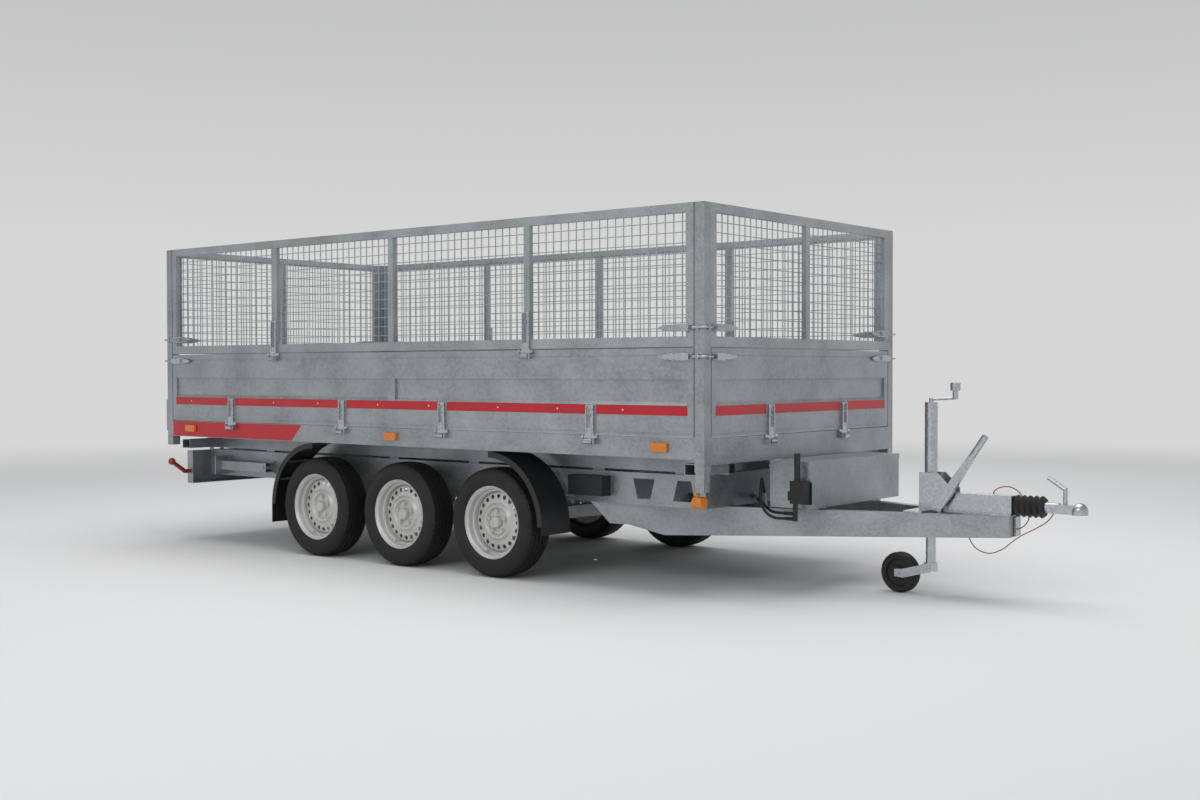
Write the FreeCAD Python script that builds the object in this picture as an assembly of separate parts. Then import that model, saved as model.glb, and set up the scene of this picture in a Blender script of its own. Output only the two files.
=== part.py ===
"""Three-axle tipper trailer: a galvanised chassis on six wheels, a V drawbar with an overrun
coupling, a jockey wheel, and a rear-tipping bed with steel drop boards and mesh sides.

Millimetres. +X points forward to the coupling, +Y to the left, +Z up, and the floor is z = 0.
While modelling, x = 0 is the middle of the bed. The last step shifts every piece so that the
origin lies on the floor under the middle of the whole trailer's box.
"""

import FreeCAD
import Part

import math
import os

from FreeCAD import Vector

# ---------------------------------------------------------------- driving dimensions
# clearances
SEAT_GAP = 0.3
TOUCH = 0.02
PANEL_GAP = 5.0
EAR_GAP = 5.0
PIN_CLEARANCE = 0.08
TIP_CLEARANCE = 0.06
SPINDLE_CLEARANCE = 0.06
# wheels, axles and mudguards
TYRE_RADIUS = 293.0
TYRE_WIDTH = 185.0
TYRE_OUTER_Y = 915.0
RIM_SEAT = 172.0
RIM_WIDTH = 152.0
RIM_WALL = 6.0
HUB_RADIUS = 62.0
SPINDLE_RADIUS = 20.0
AXLE_PITCH = 712.0
MIDDLE_AXLE_X = 15.0
ARM_LENGTH = 150.0
ARM_RISE = 32.0
AXLE_TUBE = 66.0
MUDGUARD_GAP = 85.0
MUDGUARD_WALL = 3.0
MUDGUARD_TO_SKIRT = 7.0
STAY_RADIUS = 8.0
# bed, its floor and its corner posts
BED_LENGTH = 4250.0
BED_WIDTH = 1876.0
FLOOR_PLATE = 4.0
SKIRT_DEPTH = 100.0
FRONT_SKIRT_DEPTH = 125.0
SKIRT_WALL = 4.0
SKIRT_FLANGE = 46.0
POST_SIZE = 55.0
POST_WALL = 3.0
POST_DROP = 158.0
STEM_DROP = 253.0
CAGE_HEIGHT = 1107.0
# steel drop boards: heights are above the floor
BOARD_HEIGHT = 425.0
BOARD_THICK = 30.0
BEVEL_UP = 154.0
RECESS_UP = 170.0
RECESS_HEIGHT = 107.0
RECESS_DEPTH = 12.0
RECESS_END = 40.0
RIB_WIDTH = 65.0
GROOVE = 4.0
GROOVE_DEPTH = 3.0
GROOVE_UP = 13.0
GROOVE_DOWN = 36.0
# hinges of the boards and of the mesh sides
STRAP_WIDTH = 50.0
STRAP_THICK = 9.0
STRAP_HEIGHT = 180.0
MESH_STRAP_HEIGHT = 227.0
PIN_RADIUS = 7.0
EYE_RADIUS = 13.0
PIN_OUT = 19.0
PIN_DROP = 30.0
GATE_PIN_DROP = 18.0
LUG_WIDTH = 10.0
LUG_GAP = 5.0
INNER_STRAP_X = 407.0
OUTER_STRAP_INSET = 681.0
MESH_STRAP_INSET = 1105.0
FRONT_STRAP_Y = 368.0
# latches at the corners
LATCH_LENGTH = 190.0
LATCH_HEIGHT = 34.0
LATCH_THICK = 26.0
LATCH_DROP = 40.0
MESH_LATCH_RISE = 97.0
# mesh sides
MESH_RAIL = 45.0
MESH_SILL = 49.0
MESH_POST = 42.0
MESH_DEPTH = 25.0
MESH_PITCH = 50.0
MESH_OVERLAP = 12.0
MESH_LIFT = 2.0
WIRE = 4.0
# bed beams, crossbars and end tubes
BEAM_WIDTH = 60.0
BEAM_HEIGHT = 132.0
BEAM_WALL = 5.0
BEAM_INSET = 8.0
BEAM_TO_POST = 5.0
CROSSBAR = 50.0
CROSSBAR_WALL = 4.0
CROSSBAR_PITCH = 520.0
END_TUBE_LENGTH = 80.0
END_TUBE_HEIGHT = 56.0
END_TUBE_INSET = 38.0
END_TUBE_RISE = 8.0
# chassis rails
RAIL_OUTER = 650.0
RAIL_FLANGE = 60.0
RAIL_WALL = 5.0
RAIL_HEIGHT = 165.0
RAIL_FRONT_INSET = 225.0
CROSS_PLATE = 35.0
CROSS_PLATE_WALL = 6.0
CROSS_PLATE_RISE = 5.0
CROSS_TUBE = 80.0
REST_GAP = 12.0
REST_LENGTH = 80.0
# tipping hinge
TIP_FROM_REAR = 60.0
TIP_RISE = 40.0
TIP_PIN_RADIUS = 15.0
EAR_THICK = 8.0
EAR_RADIUS = 33.0
# ram and the cradle that carries it
RAM_BEHIND_AXLE = 230.0
RAM_PIVOT_DROP = 85.0
RAM_BALL_DROP = 60.0
RAM_TUBE_DROP = 18.0
RAM_RADIUS = 62.0
RAM_STEP = 8.0
RAM_WALL = 7.0
RAM_STAGES = 4
RAM_WELL = 49.6
BALL_RADIUS = 22.0
CRADLE_SIDE = 14.0
CRADLE_BEHIND = 98.0
CRADLE_AHEAD = 13.0
CRADLE_TUBE = 60.0
CRADLE_INSET = 26.0
# drawbar
BEAM_TIP_AHEAD = 1115.0
BEAM_TIP_Y = 36.0
BEAM_REAR_BEHIND = 900.0
BEAM_REAR_Y = 615.0
DRAWBAR_WIDTH = 55.0
DRAWBAR_WALL = 5.0
DRAWBAR_TIP_DEPTH = 99.0
DRAWBAR_DEPTH = 159.0
DRAWBAR_DEEP_BEHIND = 525.0
DRAWBAR_REAR_DEPTH = 110.0
# overrun coupling and handbrake: lengths are ahead of the bed, heights are above the beams
HOUSING_REAR_AHEAD = 730.0
HOUSING_FRONT_AHEAD = 1118.0
HOUSING_WIDTH = 96.0
HOUSING_HEIGHT = 95.0
FOOT_THICK = 10.0
FOOT_SIDE = 14.0
SHAFT_RADIUS = 26.0
COUPLING_RISE = 48.0
BELLOWS_END_AHEAD = 1263.0
NOSE_AHEAD = 1460.0
LEVER_AHEAD = 769.0
LEVER_RISE = 31.0
LEVER_REACH = 413.0
LEVER_ANGLE = 55.5
LEVER_PIN_RADIUS = 9.0
BRAKE_ROD_Y = 60.0
BRAKE_ROD_RADIUS = 5.0
BRAKE_ROD_DROP = 105.0
BRAKE_BRACKET_AHEAD = 763.0
# jockey wheel
JOCKEY_AHEAD = 691.0
JOCKEY_TUBE_RADIUS = 31.0
JOCKEY_INNER_RADIUS = 24.0
JOCKEY_TOP_RISE = 522.0
JOCKEY_INNER_RISE = 205.0
JOCKEY_TUBE_DROP = 15.0
JOCKEY_BRACKET_RISE = 187.0
JOCKEY_TRAIL = 161.0
JOCKEY_WHEEL_RADIUS = 100.0
JOCKEY_WHEEL_WIDTH = 50.0
CRANK_ARM = 125.0
# tool box and hand pump
BOX_AHEAD = 58.0
BOX_DEPTH = 227.0
BOX_WIDTH = 914.0
BOX_HEIGHT = 225.0
BOX_FOOT = 15.0
BOX_WALL = 3.0
LID_HEIGHT = 20.0
LID_WALL = 2.0
LID_PIN_RADIUS = 4.0
LID_PIN_BACK = 8.0
LID_PIN_DROP = 8.0
PUMP_INSET = 153.0
PUMP_OUT = 42.0
PUMP_BACK_THICK = 6.0
# hoses and cables
HOSE_RADIUS = 7.0
CABLE_RADIUS = 2.5
# rear end and lamps
BUMPER_DEPTH = 60.0
BUMPER_HALF = 790.0
BUMPER_DROP = 55.0
BUMPER_WALL = 5.0
LAMP_DEPTH = 40.0
LAMP_Y = 640.0
LAMP_HALF_WIDTH = 120.0
LAMP_ARM_REACH = 128.0
LAMP_ARM_RADIUS = 14.0
LAMP_LENS_RADIUS = 24.0
SIDE_LAMP_INSET = 257.0
FRONT_LAMP_DROP = 49.0
FRONT_LAMP_RADIUS = 29.0
FRONT_LAMP_STALK = 12.0
FRONT_LAMP_INSET = 33.0
# rear legs and chock boxes
LEG_INSET = 705.0
LEG_LENGTH = 443.0
LEG_RISE = 70.0
LEG_TUBE = 58.0
LEG_STANDOFF = 16.0
CHOCK_BOX_LENGTH = 230.0
CHOCK_BOX_GAP = 5.0

# ---------------------------------------------------------------- places worked out from them
BED_REAR = -BED_LENGTH / 2
BED_FRONT = BED_LENGTH / 2
HALF_WIDTH = BED_WIDTH / 2
POST_INNER_X = BED_FRONT - POST_SIZE
POST_INNER_Y = HALF_WIDTH - POST_SIZE
# the bed stands just above the mudguards, and the chassis hangs below the bed
AXLE_Z = TYRE_RADIUS + ARM_RISE
MUDGUARD_RADIUS = TYRE_RADIUS + MUDGUARD_GAP
FLOOR_TOP = TYRE_RADIUS + MUDGUARD_RADIUS + MUDGUARD_TO_SKIRT + SKIRT_DEPTH
SKIRT_BOTTOM = FLOOR_TOP - SKIRT_DEPTH
BEAM_TOP = FLOOR_TOP - FLOOR_PLATE - CROSSBAR
FRAME_BOTTOM = BEAM_TOP - BEAM_HEIGHT
RAIL_TOP = FRAME_BOTTOM - REST_GAP
RAIL_BOTTOM = RAIL_TOP - RAIL_HEIGHT
RAIL_FRONT = BED_FRONT - RAIL_FRONT_INSET
BEAM_OUTER = RAIL_OUTER - BEAM_INSET
POST_BOTTOM = FLOOR_TOP - POST_DROP
STEM_BOTTOM = FLOOR_TOP - STEM_DROP
CAGE_TOP = FLOOR_TOP + CAGE_HEIGHT
BOARD_TOP = FLOOR_TOP + BOARD_HEIGHT
BOARD_BOTTOM = FLOOR_TOP + PANEL_GAP
BOARD_PIN_Z = FLOOR_TOP - PIN_DROP
MESH_BOTTOM = BOARD_TOP + PANEL_GAP + MESH_LIFT
MESH_PIN_Z = BOARD_TOP - PIN_DROP
GATE_PIN_Z = BOARD_TOP - GATE_PIN_DROP
LATCH_Z = BOARD_TOP - LATCH_DROP
MESH_LATCH_Z = BOARD_TOP + MESH_LATCH_RISE
SIDE_STRAP_X = (INNER_STRAP_X, BED_FRONT - OUTER_STRAP_INSET)
MESH_STRAP_X = BED_FRONT - MESH_STRAP_INSET
SIDE_PIN_Y = HALF_WIDTH + PIN_OUT
FRONT_PIN_X = BED_FRONT + PIN_OUT
TIP_X = BED_REAR + TIP_FROM_REAR
TIP_Z = FRAME_BOTTOM + TIP_RISE
RAM_X = MIDDLE_AXLE_X - RAM_BEHIND_AXLE
RAM_PIVOT_Z = RAIL_BOTTOM - RAM_PIVOT_DROP
RAM_BALL_Z = FLOOR_TOP - RAM_BALL_DROP
RAM_TUBE_TOP = RAM_BALL_Z - RAM_TUBE_DROP
RAM_SIDE_PLATE_Y = RAM_RADIUS + CRADLE_SIDE
BEAM_TIP_X = BED_FRONT + BEAM_TIP_AHEAD
BEAM_REAR_X = BED_FRONT - BEAM_REAR_BEHIND
DRAWBAR_DEEP_X = BED_FRONT - DRAWBAR_DEEP_BEHIND
HOUSING_REAR = BED_FRONT + HOUSING_REAR_AHEAD
HOUSING_FRONT = BED_FRONT + HOUSING_FRONT_AHEAD
HOUSING_TOP = RAIL_BOTTOM + HOUSING_HEIGHT
COUPLING_Z = RAIL_BOTTOM + COUPLING_RISE
BELLOWS_END = BED_FRONT + BELLOWS_END_AHEAD
NOSE_X = BED_FRONT + NOSE_AHEAD
LEVER_X = BED_FRONT + LEVER_AHEAD
BRAKE_BRACKET_X = BED_FRONT + BRAKE_BRACKET_AHEAD
LEVER_Z = RAIL_BOTTOM + LEVER_RISE
JOCKEY_X = BED_FRONT + JOCKEY_AHEAD
JOCKEY_TOP = RAIL_BOTTOM + JOCKEY_TOP_RISE
JOCKEY_INNER_TOP = RAIL_BOTTOM + JOCKEY_INNER_RISE
JOCKEY_TUBE_BOTTOM = RAIL_BOTTOM - JOCKEY_TUBE_DROP
BOX_REAR_X = BED_FRONT + BOX_AHEAD
BOX_BOTTOM = RAIL_BOTTOM + BOX_FOOT
BOX_TOP = BOX_BOTTOM + BOX_HEIGHT
LID_PIN_X = BOX_REAR_X - LID_PIN_BACK
LID_PIN_Z = BOX_TOP - LID_PIN_DROP
PUMP_X = BOX_REAR_X + PUMP_INSET
PUMP_FACE = -BOX_WIDTH / 2 - SEAT_GAP
PUMP_Y = PUMP_FACE - PUMP_OUT
BUMPER_BOTTOM = RAIL_BOTTOM - BUMPER_DROP
BUMPER_TOP = RAIL_TOP - RAIL_WALL
FRONT_LAMP_Z = STEM_BOTTOM - FRONT_LAMP_DROP
LEG_PIVOT_X = BED_REAR + LEG_INSET
LEG_Z = RAIL_BOTTOM + LEG_RISE
AXLE_XS = [MIDDLE_AXLE_X + AXLE_PITCH * k for k in (-1, 0, 1)]
END_WHEELS = [(AXLE_XS[0], -1), (AXLE_XS[2], 1)]
AXLE_NAMES = ["rear", "middle", "front"]
SIDES = [("right", -1), ("left", 1)]

OUT = "parts"
os.makedirs(OUT, exist_ok=True)


# ---------------------------------------------------------------- small makers
def box(x0, x1, y0, y1, z0, z1):
    """A block between two corners, given in any order."""
    low = Vector(min(x0, x1), min(y0, y1), min(z0, z1))
    return Part.makeBox(abs(x1 - x0), abs(y1 - y0), abs(z1 - z0), low)


def rod(start, end, radius):
    """A round bar between two points."""
    a, b = Vector(*start), Vector(*end)
    return Part.makeCylinder(radius, (b - a).Length, a, b - a)


def tube(start, end, outer, inner):
    """A round tube between two points."""
    return rod(start, end, outer).cut(rod(start, end, inner))


def box_tube(x0, x1, y0, y1, z0, z1, wall, along):
    """A rectangular tube, open at both ends along 'x', 'y' or 'z'."""
    wx, wy, wz = (0 if along == axis else wall for axis in "xyz")
    inner = box(x0 + wx, x1 - wx, y0 + wy, y1 - wy, z0 + wz, z1 - wz)
    return box(x0, x1, y0, y1, z0, z1).cut(inner)


def plate(points, thickness):
    """A flat outline of 3-D points, given a thickness as a vector."""
    wire = Part.makePolygon([Vector(*p) for p in points] + [Vector(*points[0])])
    return Part.Face(wire).extrude(Vector(*thickness))


def side_plate(points_xz, y0, y1):
    """An outline in the XZ plane, thick from y0 to y1."""
    return plate([(x, y0, z) for x, z in points_xz], (0, y1 - y0, 0))


def spun(profile, centre):
    """A profile of (radius, distance along Y) turned round the Y axis through centre."""
    cx, cy, cz = centre
    points = [Vector(cx + r, cy + y, cz) for r, y in profile]
    face = Part.Face(Part.makePolygon(points + [points[0]]))
    return face.revolve(Vector(*centre), Vector(0, 1, 0), 360)


def fused(shapes):
    """One shape from shapes that touch or overlap, with leftover seams removed."""
    first, *rest = shapes
    return (first.fuse(rest) if rest else first).removeSplitter()


def mirrored(shape):
    """The same piece on the other side of the trailer."""
    return shape.mirror(Vector(0, 0, 0), Vector(0, 1, 0))


def turned_to_end(shape, end):
    """A piece made for the +Y side, turned to stand at the front (end 1) or the rear (end -1)."""
    copy = shape.copy()
    copy.rotate(Vector(0, 0, 0), Vector(0, 0, 1), -90 * end)
    return copy


PIECES = {}


def add(name, *shapes):
    """Keeps the solids of one node until all nodes are made."""
    PIECES[name] = [solid for shape in shapes for solid in shape.Solids]


# ---------------------------------------------------------------- hoses and cables
# routes of the cords, as points chosen along them with the bed's front and the rails' bottom here
ROUTE_FRONT = 2125.0
ROUTE_RAIL = 415.0


def routed(points):
    """The points of a route, moved with the bed's front and the rails."""
    return [(x + BED_FRONT - ROUTE_FRONT, y, z + RAIL_BOTTOM - ROUTE_RAIL) for x, y, z in points]


PRESSURE_HOSE = routed([
    (2300, -499, 383), (2252, -503, 380), (2206, -504, 392), (2168, -497, 423), (2141, -478, 465),
    (2122, -448, 510), (2100, -404, 544), (2070, -352, 558), (2040, -300, 548), (2016, -254, 518),
    (1998, -218, 478)])
RETURN_HOSE = routed([
    (2290, -499, 408), (2242, -493, 407), (2196, -472, 411), (2155, -440, 421), (2115, -401, 431),
    (2074, -358, 438), (2033, -315, 442), (1993, -274, 446)])
BREAKAWAY_CABLE = routed([
    (3026, -42, 414.7), (3022, -42, 384), (3022, -42, 350), (3028, -41, 315), (3039, -39, 282),
    (3060, -36, 254), (3092, -33, 237), (3134, -31, 231), (3178, -29, 247), (3212, -28, 270),
    (3246, -27, 301), (3292, -26, 333), (3342, -25, 358), (3388, -24, 386), (3421, -22, 413),
    (3434, -22, 439)])
LEVER_CABLE = routed([
    (3102, 60, 490), (3107, 60, 512), (3126, 60, 532), (3154, 60, 543), (3186, 60, 546),
    (3217, 61, 536), (3243, 63, 514), (3262, 64, 484), (3276, 63, 452), (3288, 56, 421),
    (3292, 40, 396), (3286, 22, 376), (3274, 9, 361), (3251.3, 2, 352)])


def recess(points, radius):
    """The round hole that a cord's first run leaves in the fitting it enters."""
    first, second = Vector(*points[0]), Vector(*points[1])
    run = (second - first).normalize()
    return rod(first - run * 0.5, second, radius + TOUCH)


def cord(name, points, radius):
    """A round cord along straight runs joined by tangent arcs, as large as the runs allow."""
    corners = [Vector(*p) for p in points]
    edges = []
    start = corners[0]
    radii = []
    for before, corner, after in zip(corners, corners[1:], corners[2:]):
        into, out = corner - before, after - corner
        half_turn = into.getAngle(out) / 2
        setback = 0.45 * min(into.Length, out.Length)
        radii.append(setback / math.tan(half_turn))
        arc_start = corner - into * (setback / into.Length)
        arc_end = corner + out * (setback / out.Length)
        bisector = (out / out.Length - into / into.Length).normalize()
        arc_middle = corner + bisector * (radii[-1] / math.cos(half_turn) - radii[-1])
        edges.append(Part.LineSegment(start, arc_start).toShape())
        edges.append(Part.Arc(arc_start, arc_middle, arc_end).toShape())
        start = arc_end
    edges.append(Part.LineSegment(start, corners[-1]).toShape())
    path = Part.Wire(edges)
    ring = Part.Wire([Part.makeCircle(radius, corners[0], corners[1] - corners[0])])
    solid = Part.Solid(path.makePipeShell([ring], True, True))
    share = solid.Volume / (math.pi * radius ** 2 * path.Length)
    print(f"{name}: length {path.Length:.0f} mm, smallest arc {min(radii):.0f} mm, "
          f"volume {share:.4f} of its section")
    return solid


# ---------------------------------------------------------------- bed frame, floor and posts
def skirt_side(side):
    """A side skirt: an upright web with a flange inwards at its top and bottom."""
    y = side * HALF_WIDTH
    inner = y - side * SKIRT_FLANGE
    outer = box(-POST_INNER_X, POST_INNER_X, y, inner, SKIRT_BOTTOM, FLOOR_TOP)
    hollow = box(-POST_INNER_X, POST_INNER_X, y - side * SKIRT_WALL, inner,
                 SKIRT_BOTTOM + SKIRT_WALL, FLOOR_TOP - SKIRT_WALL)
    return outer.cut(hollow)


def skirt_end(end, depth):
    """The skirt across the front (end 1) or the rear (end -1)."""
    x = end * BED_FRONT
    web = box(x, x - end * SKIRT_WALL, -POST_INNER_Y, POST_INNER_Y, FLOOR_TOP - depth, FLOOR_TOP)
    flange = box(x, x - end * SKIRT_FLANGE, -POST_INNER_Y, POST_INNER_Y,
                 FLOOR_TOP - SKIRT_WALL, FLOOR_TOP)
    return web.fuse(flange)


def bed_beam(side):
    """A long rectangular tube of the bed, with the boss of the tipping hinge at its rear."""
    outer = side * BEAM_OUTER
    inner = side * (BEAM_OUTER - BEAM_WIDTH)
    low, high = sorted((outer, inner))
    rear = TIP_X - EAR_RADIUS * 0.6
    body = box_tube(rear, POST_INNER_X - BEAM_TO_POST, low, high, FRAME_BOTTOM, BEAM_TOP, BEAM_WALL, "x")
    boss = rod((TIP_X, low, TIP_Z), (TIP_X, high, TIP_Z), TIP_PIN_RADIUS + 9)
    bore = rod((TIP_X, low, TIP_Z), (TIP_X, high, TIP_Z), TIP_PIN_RADIUS + TIP_CLEARANCE)
    return body.fuse(boss).cut(bore)


def end_tube(x, side):
    """A short open tube from a beam's outer face out to the skirt."""
    bottom = FRAME_BOTTOM + END_TUBE_RISE
    low, high = sorted((side * (BEAM_OUTER + TOUCH), side * (HALF_WIDTH - END_TUBE_INSET)))
    return box_tube(x, x + END_TUBE_LENGTH, low, high, bottom, bottom + END_TUBE_HEIGHT, CROSSBAR_WALL, "y")


def crossbar(x):
    """A square tube across the bed, lying on the beams between the skirts' webs."""
    reach = HALF_WIDTH - SKIRT_WALL - TOUCH
    return box_tube(x - CROSSBAR / 2, x + CROSSBAR / 2, -reach, reach,
                    BEAM_TOP + TOUCH, BEAM_TOP + CROSSBAR - TOUCH, CROSSBAR_WALL, "y")


def crossbar_xs():
    """Where the plain crossbars lie: evenly spaced, leaving out any that is too near the ram."""
    ends = POST_INNER_X - CROSSBAR / 2
    count = round(2 * ends / CROSSBAR_PITCH)
    even = [-ends + 2 * ends * k / count for k in range(count + 1)]
    return [x for x in even if abs(x - RAM_X) > RAM_RADIUS + RAM_WELL + CROSSBAR]


def ram_crossbars():
    """The pair of crossbars at the ram, joined by the seat of its ball."""
    reach = RAM_RADIUS + RAM_WELL
    seat_z = RAM_BALL_Z + BALL_RADIUS + 0.5
    seat_half = reach - CROSSBAR / 2 + 1
    seat = box(RAM_X - seat_half, RAM_X + seat_half, -50, 50, seat_z, seat_z + 12)
    return fused([crossbar(RAM_X - reach), crossbar(RAM_X + reach), seat])


def board_lugs(pin_line, z, along, out, gap_half, base):
    """Two lugs and a pin for one strap. pin_line is the pin's place, base is the face behind it."""
    (px, py) = pin_line
    pieces = []
    for k in (-1, 1):
        near = k * gap_half
        far = k * (gap_half + LUG_WIDTH)
        if along == "x":
            pieces.append(box(px + near, px + far, base, py + out * EYE_RADIUS * 0.6,
                              z - EYE_RADIUS, z + EYE_RADIUS))
        else:
            pieces.append(box(base, px + out * EYE_RADIUS * 0.6, py + near, py + far,
                              z - EYE_RADIUS, z + EYE_RADIUS))
    reach = gap_half + LUG_WIDTH
    step = (reach, 0) if along == "x" else (0, reach)
    pieces.append(rod((px - step[0], py - step[1], z), (px + step[0], py + step[1], z), PIN_RADIUS))
    return pieces


def bed_skirts():
    """The four skirts, with the lugs and pins of the boards on those that carry a board."""
    half = STRAP_WIDTH / 2 + LUG_GAP
    sides = []
    for side in (-1, 1):
        pieces = [skirt_side(side)]
        for x in (k * s for k in (-1, 1) for s in SIDE_STRAP_X):
            pieces += board_lugs((x, side * SIDE_PIN_Y), BOARD_PIN_Z, "x", side, half,
                                 side * (HALF_WIDTH - SKIRT_WALL / 2))
        sides.append(fused(pieces))
    front = [skirt_end(1, FRONT_SKIRT_DEPTH)]
    for y in (-FRONT_STRAP_Y, FRONT_STRAP_Y):
        front += board_lugs((FRONT_PIN_X, y), BOARD_PIN_Z, "y", 1, half, BED_FRONT - SKIRT_WALL / 2)
    return sides + [fused(front), skirt_end(-1, SKIRT_DEPTH)]


def floor_plate():
    """The steel floor, lying on the crossbars between the skirts' flanges."""
    half_y = HALF_WIDTH - SKIRT_FLANGE - SEAT_GAP
    half_x = BED_FRONT - SKIRT_FLANGE - SEAT_GAP
    corner = POST_SIZE - SKIRT_FLANGE + SEAT_GAP + 1
    sheet = box(-half_x, half_x, -half_y, half_y, BEAM_TOP + CROSSBAR + TOUCH, FLOOR_TOP)
    for end in (-1, 1):
        for side in (-1, 1):
            sheet = sheet.cut(box(end * half_x, end * (half_x - corner), side * half_y,
                                  side * (half_y - corner), FLOOR_TOP - 50, FLOOR_TOP + 50))
    return sheet


def corner_post(end, side):
    """A corner post: a square tube with a narrower stem below it at the front."""
    x0, x1 = sorted((end * POST_INNER_X, end * BED_FRONT))
    y0, y1 = sorted((side * POST_INNER_Y, side * HALF_WIDTH))
    post = box_tube(x0, x1, y0, y1, POST_BOTTOM, CAGE_TOP, POST_WALL, "z")
    cap = box(x0, x1, y0, y1, CAGE_TOP - POST_WALL, CAGE_TOP)
    pieces = [post, cap]
    if end > 0:
        inset = POST_WALL
        pieces.append(box_tube(x0 + inset, x1 - inset, y0 + inset, y1 - inset,
                               STEM_BOTTOM, POST_BOTTOM + 60, POST_WALL, "z"))
    else:
        pieces.append(gate_lock(side))
    return fused(pieces)


def gate_lock(side):
    """The barrel of the tailgate's lower lock and the lug of its upper hinge, on a rear post."""
    y = side * (HALF_WIDTH - POST_SIZE / 2)
    x = BED_REAR - 18
    barrel_low, barrel_high = FLOOR_TOP - 64, FLOOR_TOP + 134
    barrel = rod((x, y, barrel_low), (x, y, barrel_high), 20)
    stem = rod((x, y, barrel_low - 53), (x, y, barrel_low), 12)
    back = box(BED_REAR + 1, x, y - 16, y + 16, barrel_low + 26, barrel_high - 22)
    lug_in = side * (POST_INNER_Y + 1)
    lug = box(BED_REAR + 1, BED_REAR - PIN_OUT - EYE_RADIUS, lug_in, lug_in + side * 24,
              GATE_PIN_Z - EYE_RADIUS, GATE_PIN_Z + EYE_RADIUS)
    pin_x = BED_REAR - PIN_OUT
    pin = rod((pin_x, lug_in, GATE_PIN_Z), (pin_x, side * (POST_INNER_Y - 30), GATE_PIN_Z), PIN_RADIUS)
    return fused([barrel, stem, back, lug, pin])


add("bed_skirts", *bed_skirts())
tube_xs = (TIP_X + EAR_RADIUS + 12, POST_INNER_X - BEAM_TO_POST - END_TUBE_LENGTH)
add("bed_beams", bed_beam(-1), bed_beam(1), *[end_tube(x, side) for x in tube_xs for side in (-1, 1)])
add("crossbars", *[crossbar(x) for x in crossbar_xs()], ram_crossbars())
add("floor_plate", floor_plate())
add("corner_posts", *[corner_post(end, side) for end in (-1, 1) for side in (-1, 1)])


# ---------------------------------------------------------------- boards and mesh sides
def board_shape(half_length, half_width, recess_ends):
    """A board across +Y: its outer face at half_width, with a bevelled recess between ribs."""
    outer = half_width
    body = box(-half_length, half_length, outer - BOARD_THICK, outer, BOARD_BOTTOM, BOARD_TOP)
    bed = outer - RECESS_DEPTH
    cuts = []
    for x0, x1 in recess_ends:
        outline = [(x0, outer + 1, FLOOR_TOP + BEVEL_UP), (x0, outer, FLOOR_TOP + BEVEL_UP),
                   (x0, bed, FLOOR_TOP + RECESS_UP), (x0, bed, FLOOR_TOP + RECESS_UP + RECESS_HEIGHT),
                   (x0, outer + 1, FLOOR_TOP + RECESS_UP + RECESS_HEIGHT)]
        cuts.append(plate(outline, (x1 - x0, 0, 0)))
    for z in (BOARD_BOTTOM + GROOVE_UP, BOARD_TOP - GROOVE_DOWN):
        cuts.append(box(-half_length, half_length, outer - GROOVE_DEPTH, outer + 1, z, z + GROOVE))
    return body.cut(cuts)


def strap(place, face, pin_out, pin_z, top_z):
    """A hinge strap on a face at +Y: a flat bar with an eye round its pin below."""
    x = place
    half = STRAP_WIDTH / 2
    y0 = face + SEAT_GAP
    pin_y = face + pin_out
    bar = box(x - half, x + half, y0, y0 + STRAP_THICK, pin_z, top_z)
    bar = bar.cut(box(x - half / 3, x + half / 3, y0 + STRAP_THICK / 2, y0 + 2 * STRAP_THICK,
                      pin_z + 70, top_z - 15))
    eye = rod((x - half, pin_y, pin_z), (x + half, pin_y, pin_z), EYE_RADIUS)
    root = box(x - half, x + half, y0, pin_y, pin_z - 3, pin_z + EYE_RADIUS)
    hole = rod((x - half, pin_y, pin_z), (x + half, pin_y, pin_z), PIN_RADIUS + PIN_CLEARANCE)
    return fused([bar, eye, root]).cut(hole)


def latch(tip_x, post_x, face, z):
    """A toggle latch on a face at +Y: a base plate, a raised lever and a hook at the post's edge."""
    y0 = face + SEAT_GAP
    direction = 1 if post_x > tip_x else -1
    base_end = post_x - direction * 8
    base = box(tip_x + direction * 60, base_end, y0, y0 + 5, z - LATCH_HEIGHT / 2, z + LATCH_HEIGHT / 2)
    body = box(tip_x + direction * 80, post_x - direction * 12, y0, y0 + LATCH_THICK, z - 13, z + 13)
    lever = plate([(tip_x, y0 + 6, z - 7), (tip_x, y0 + 6, z + 7), (tip_x + direction * 90, y0 + 6, z + 12),
                   (tip_x + direction * 90, y0 + 6, z - 12)], (0, 10, 0))
    return fused([base, body, lever])


def mesh_frame(half_length, half_width, post_xs):
    """The frame of a mesh side across +Y: four rails and its upright posts."""
    y0, y1 = half_width - MESH_DEPTH, half_width
    outer = box(-half_length, half_length, y0, y1, MESH_BOTTOM, CAGE_TOP)
    z0, z1 = MESH_BOTTOM + MESH_SILL, CAGE_TOP - MESH_RAIL
    edges = [-half_length + MESH_RAIL - MESH_POST / 2] + post_xs + [half_length - MESH_RAIL + MESH_POST / 2]
    windows = []
    for a, b in zip(edges, edges[1:]):
        windows.append(box(a + MESH_POST / 2, b - MESH_POST / 2, y0, y1, z0, z1))
    return outer.cut(windows)


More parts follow.
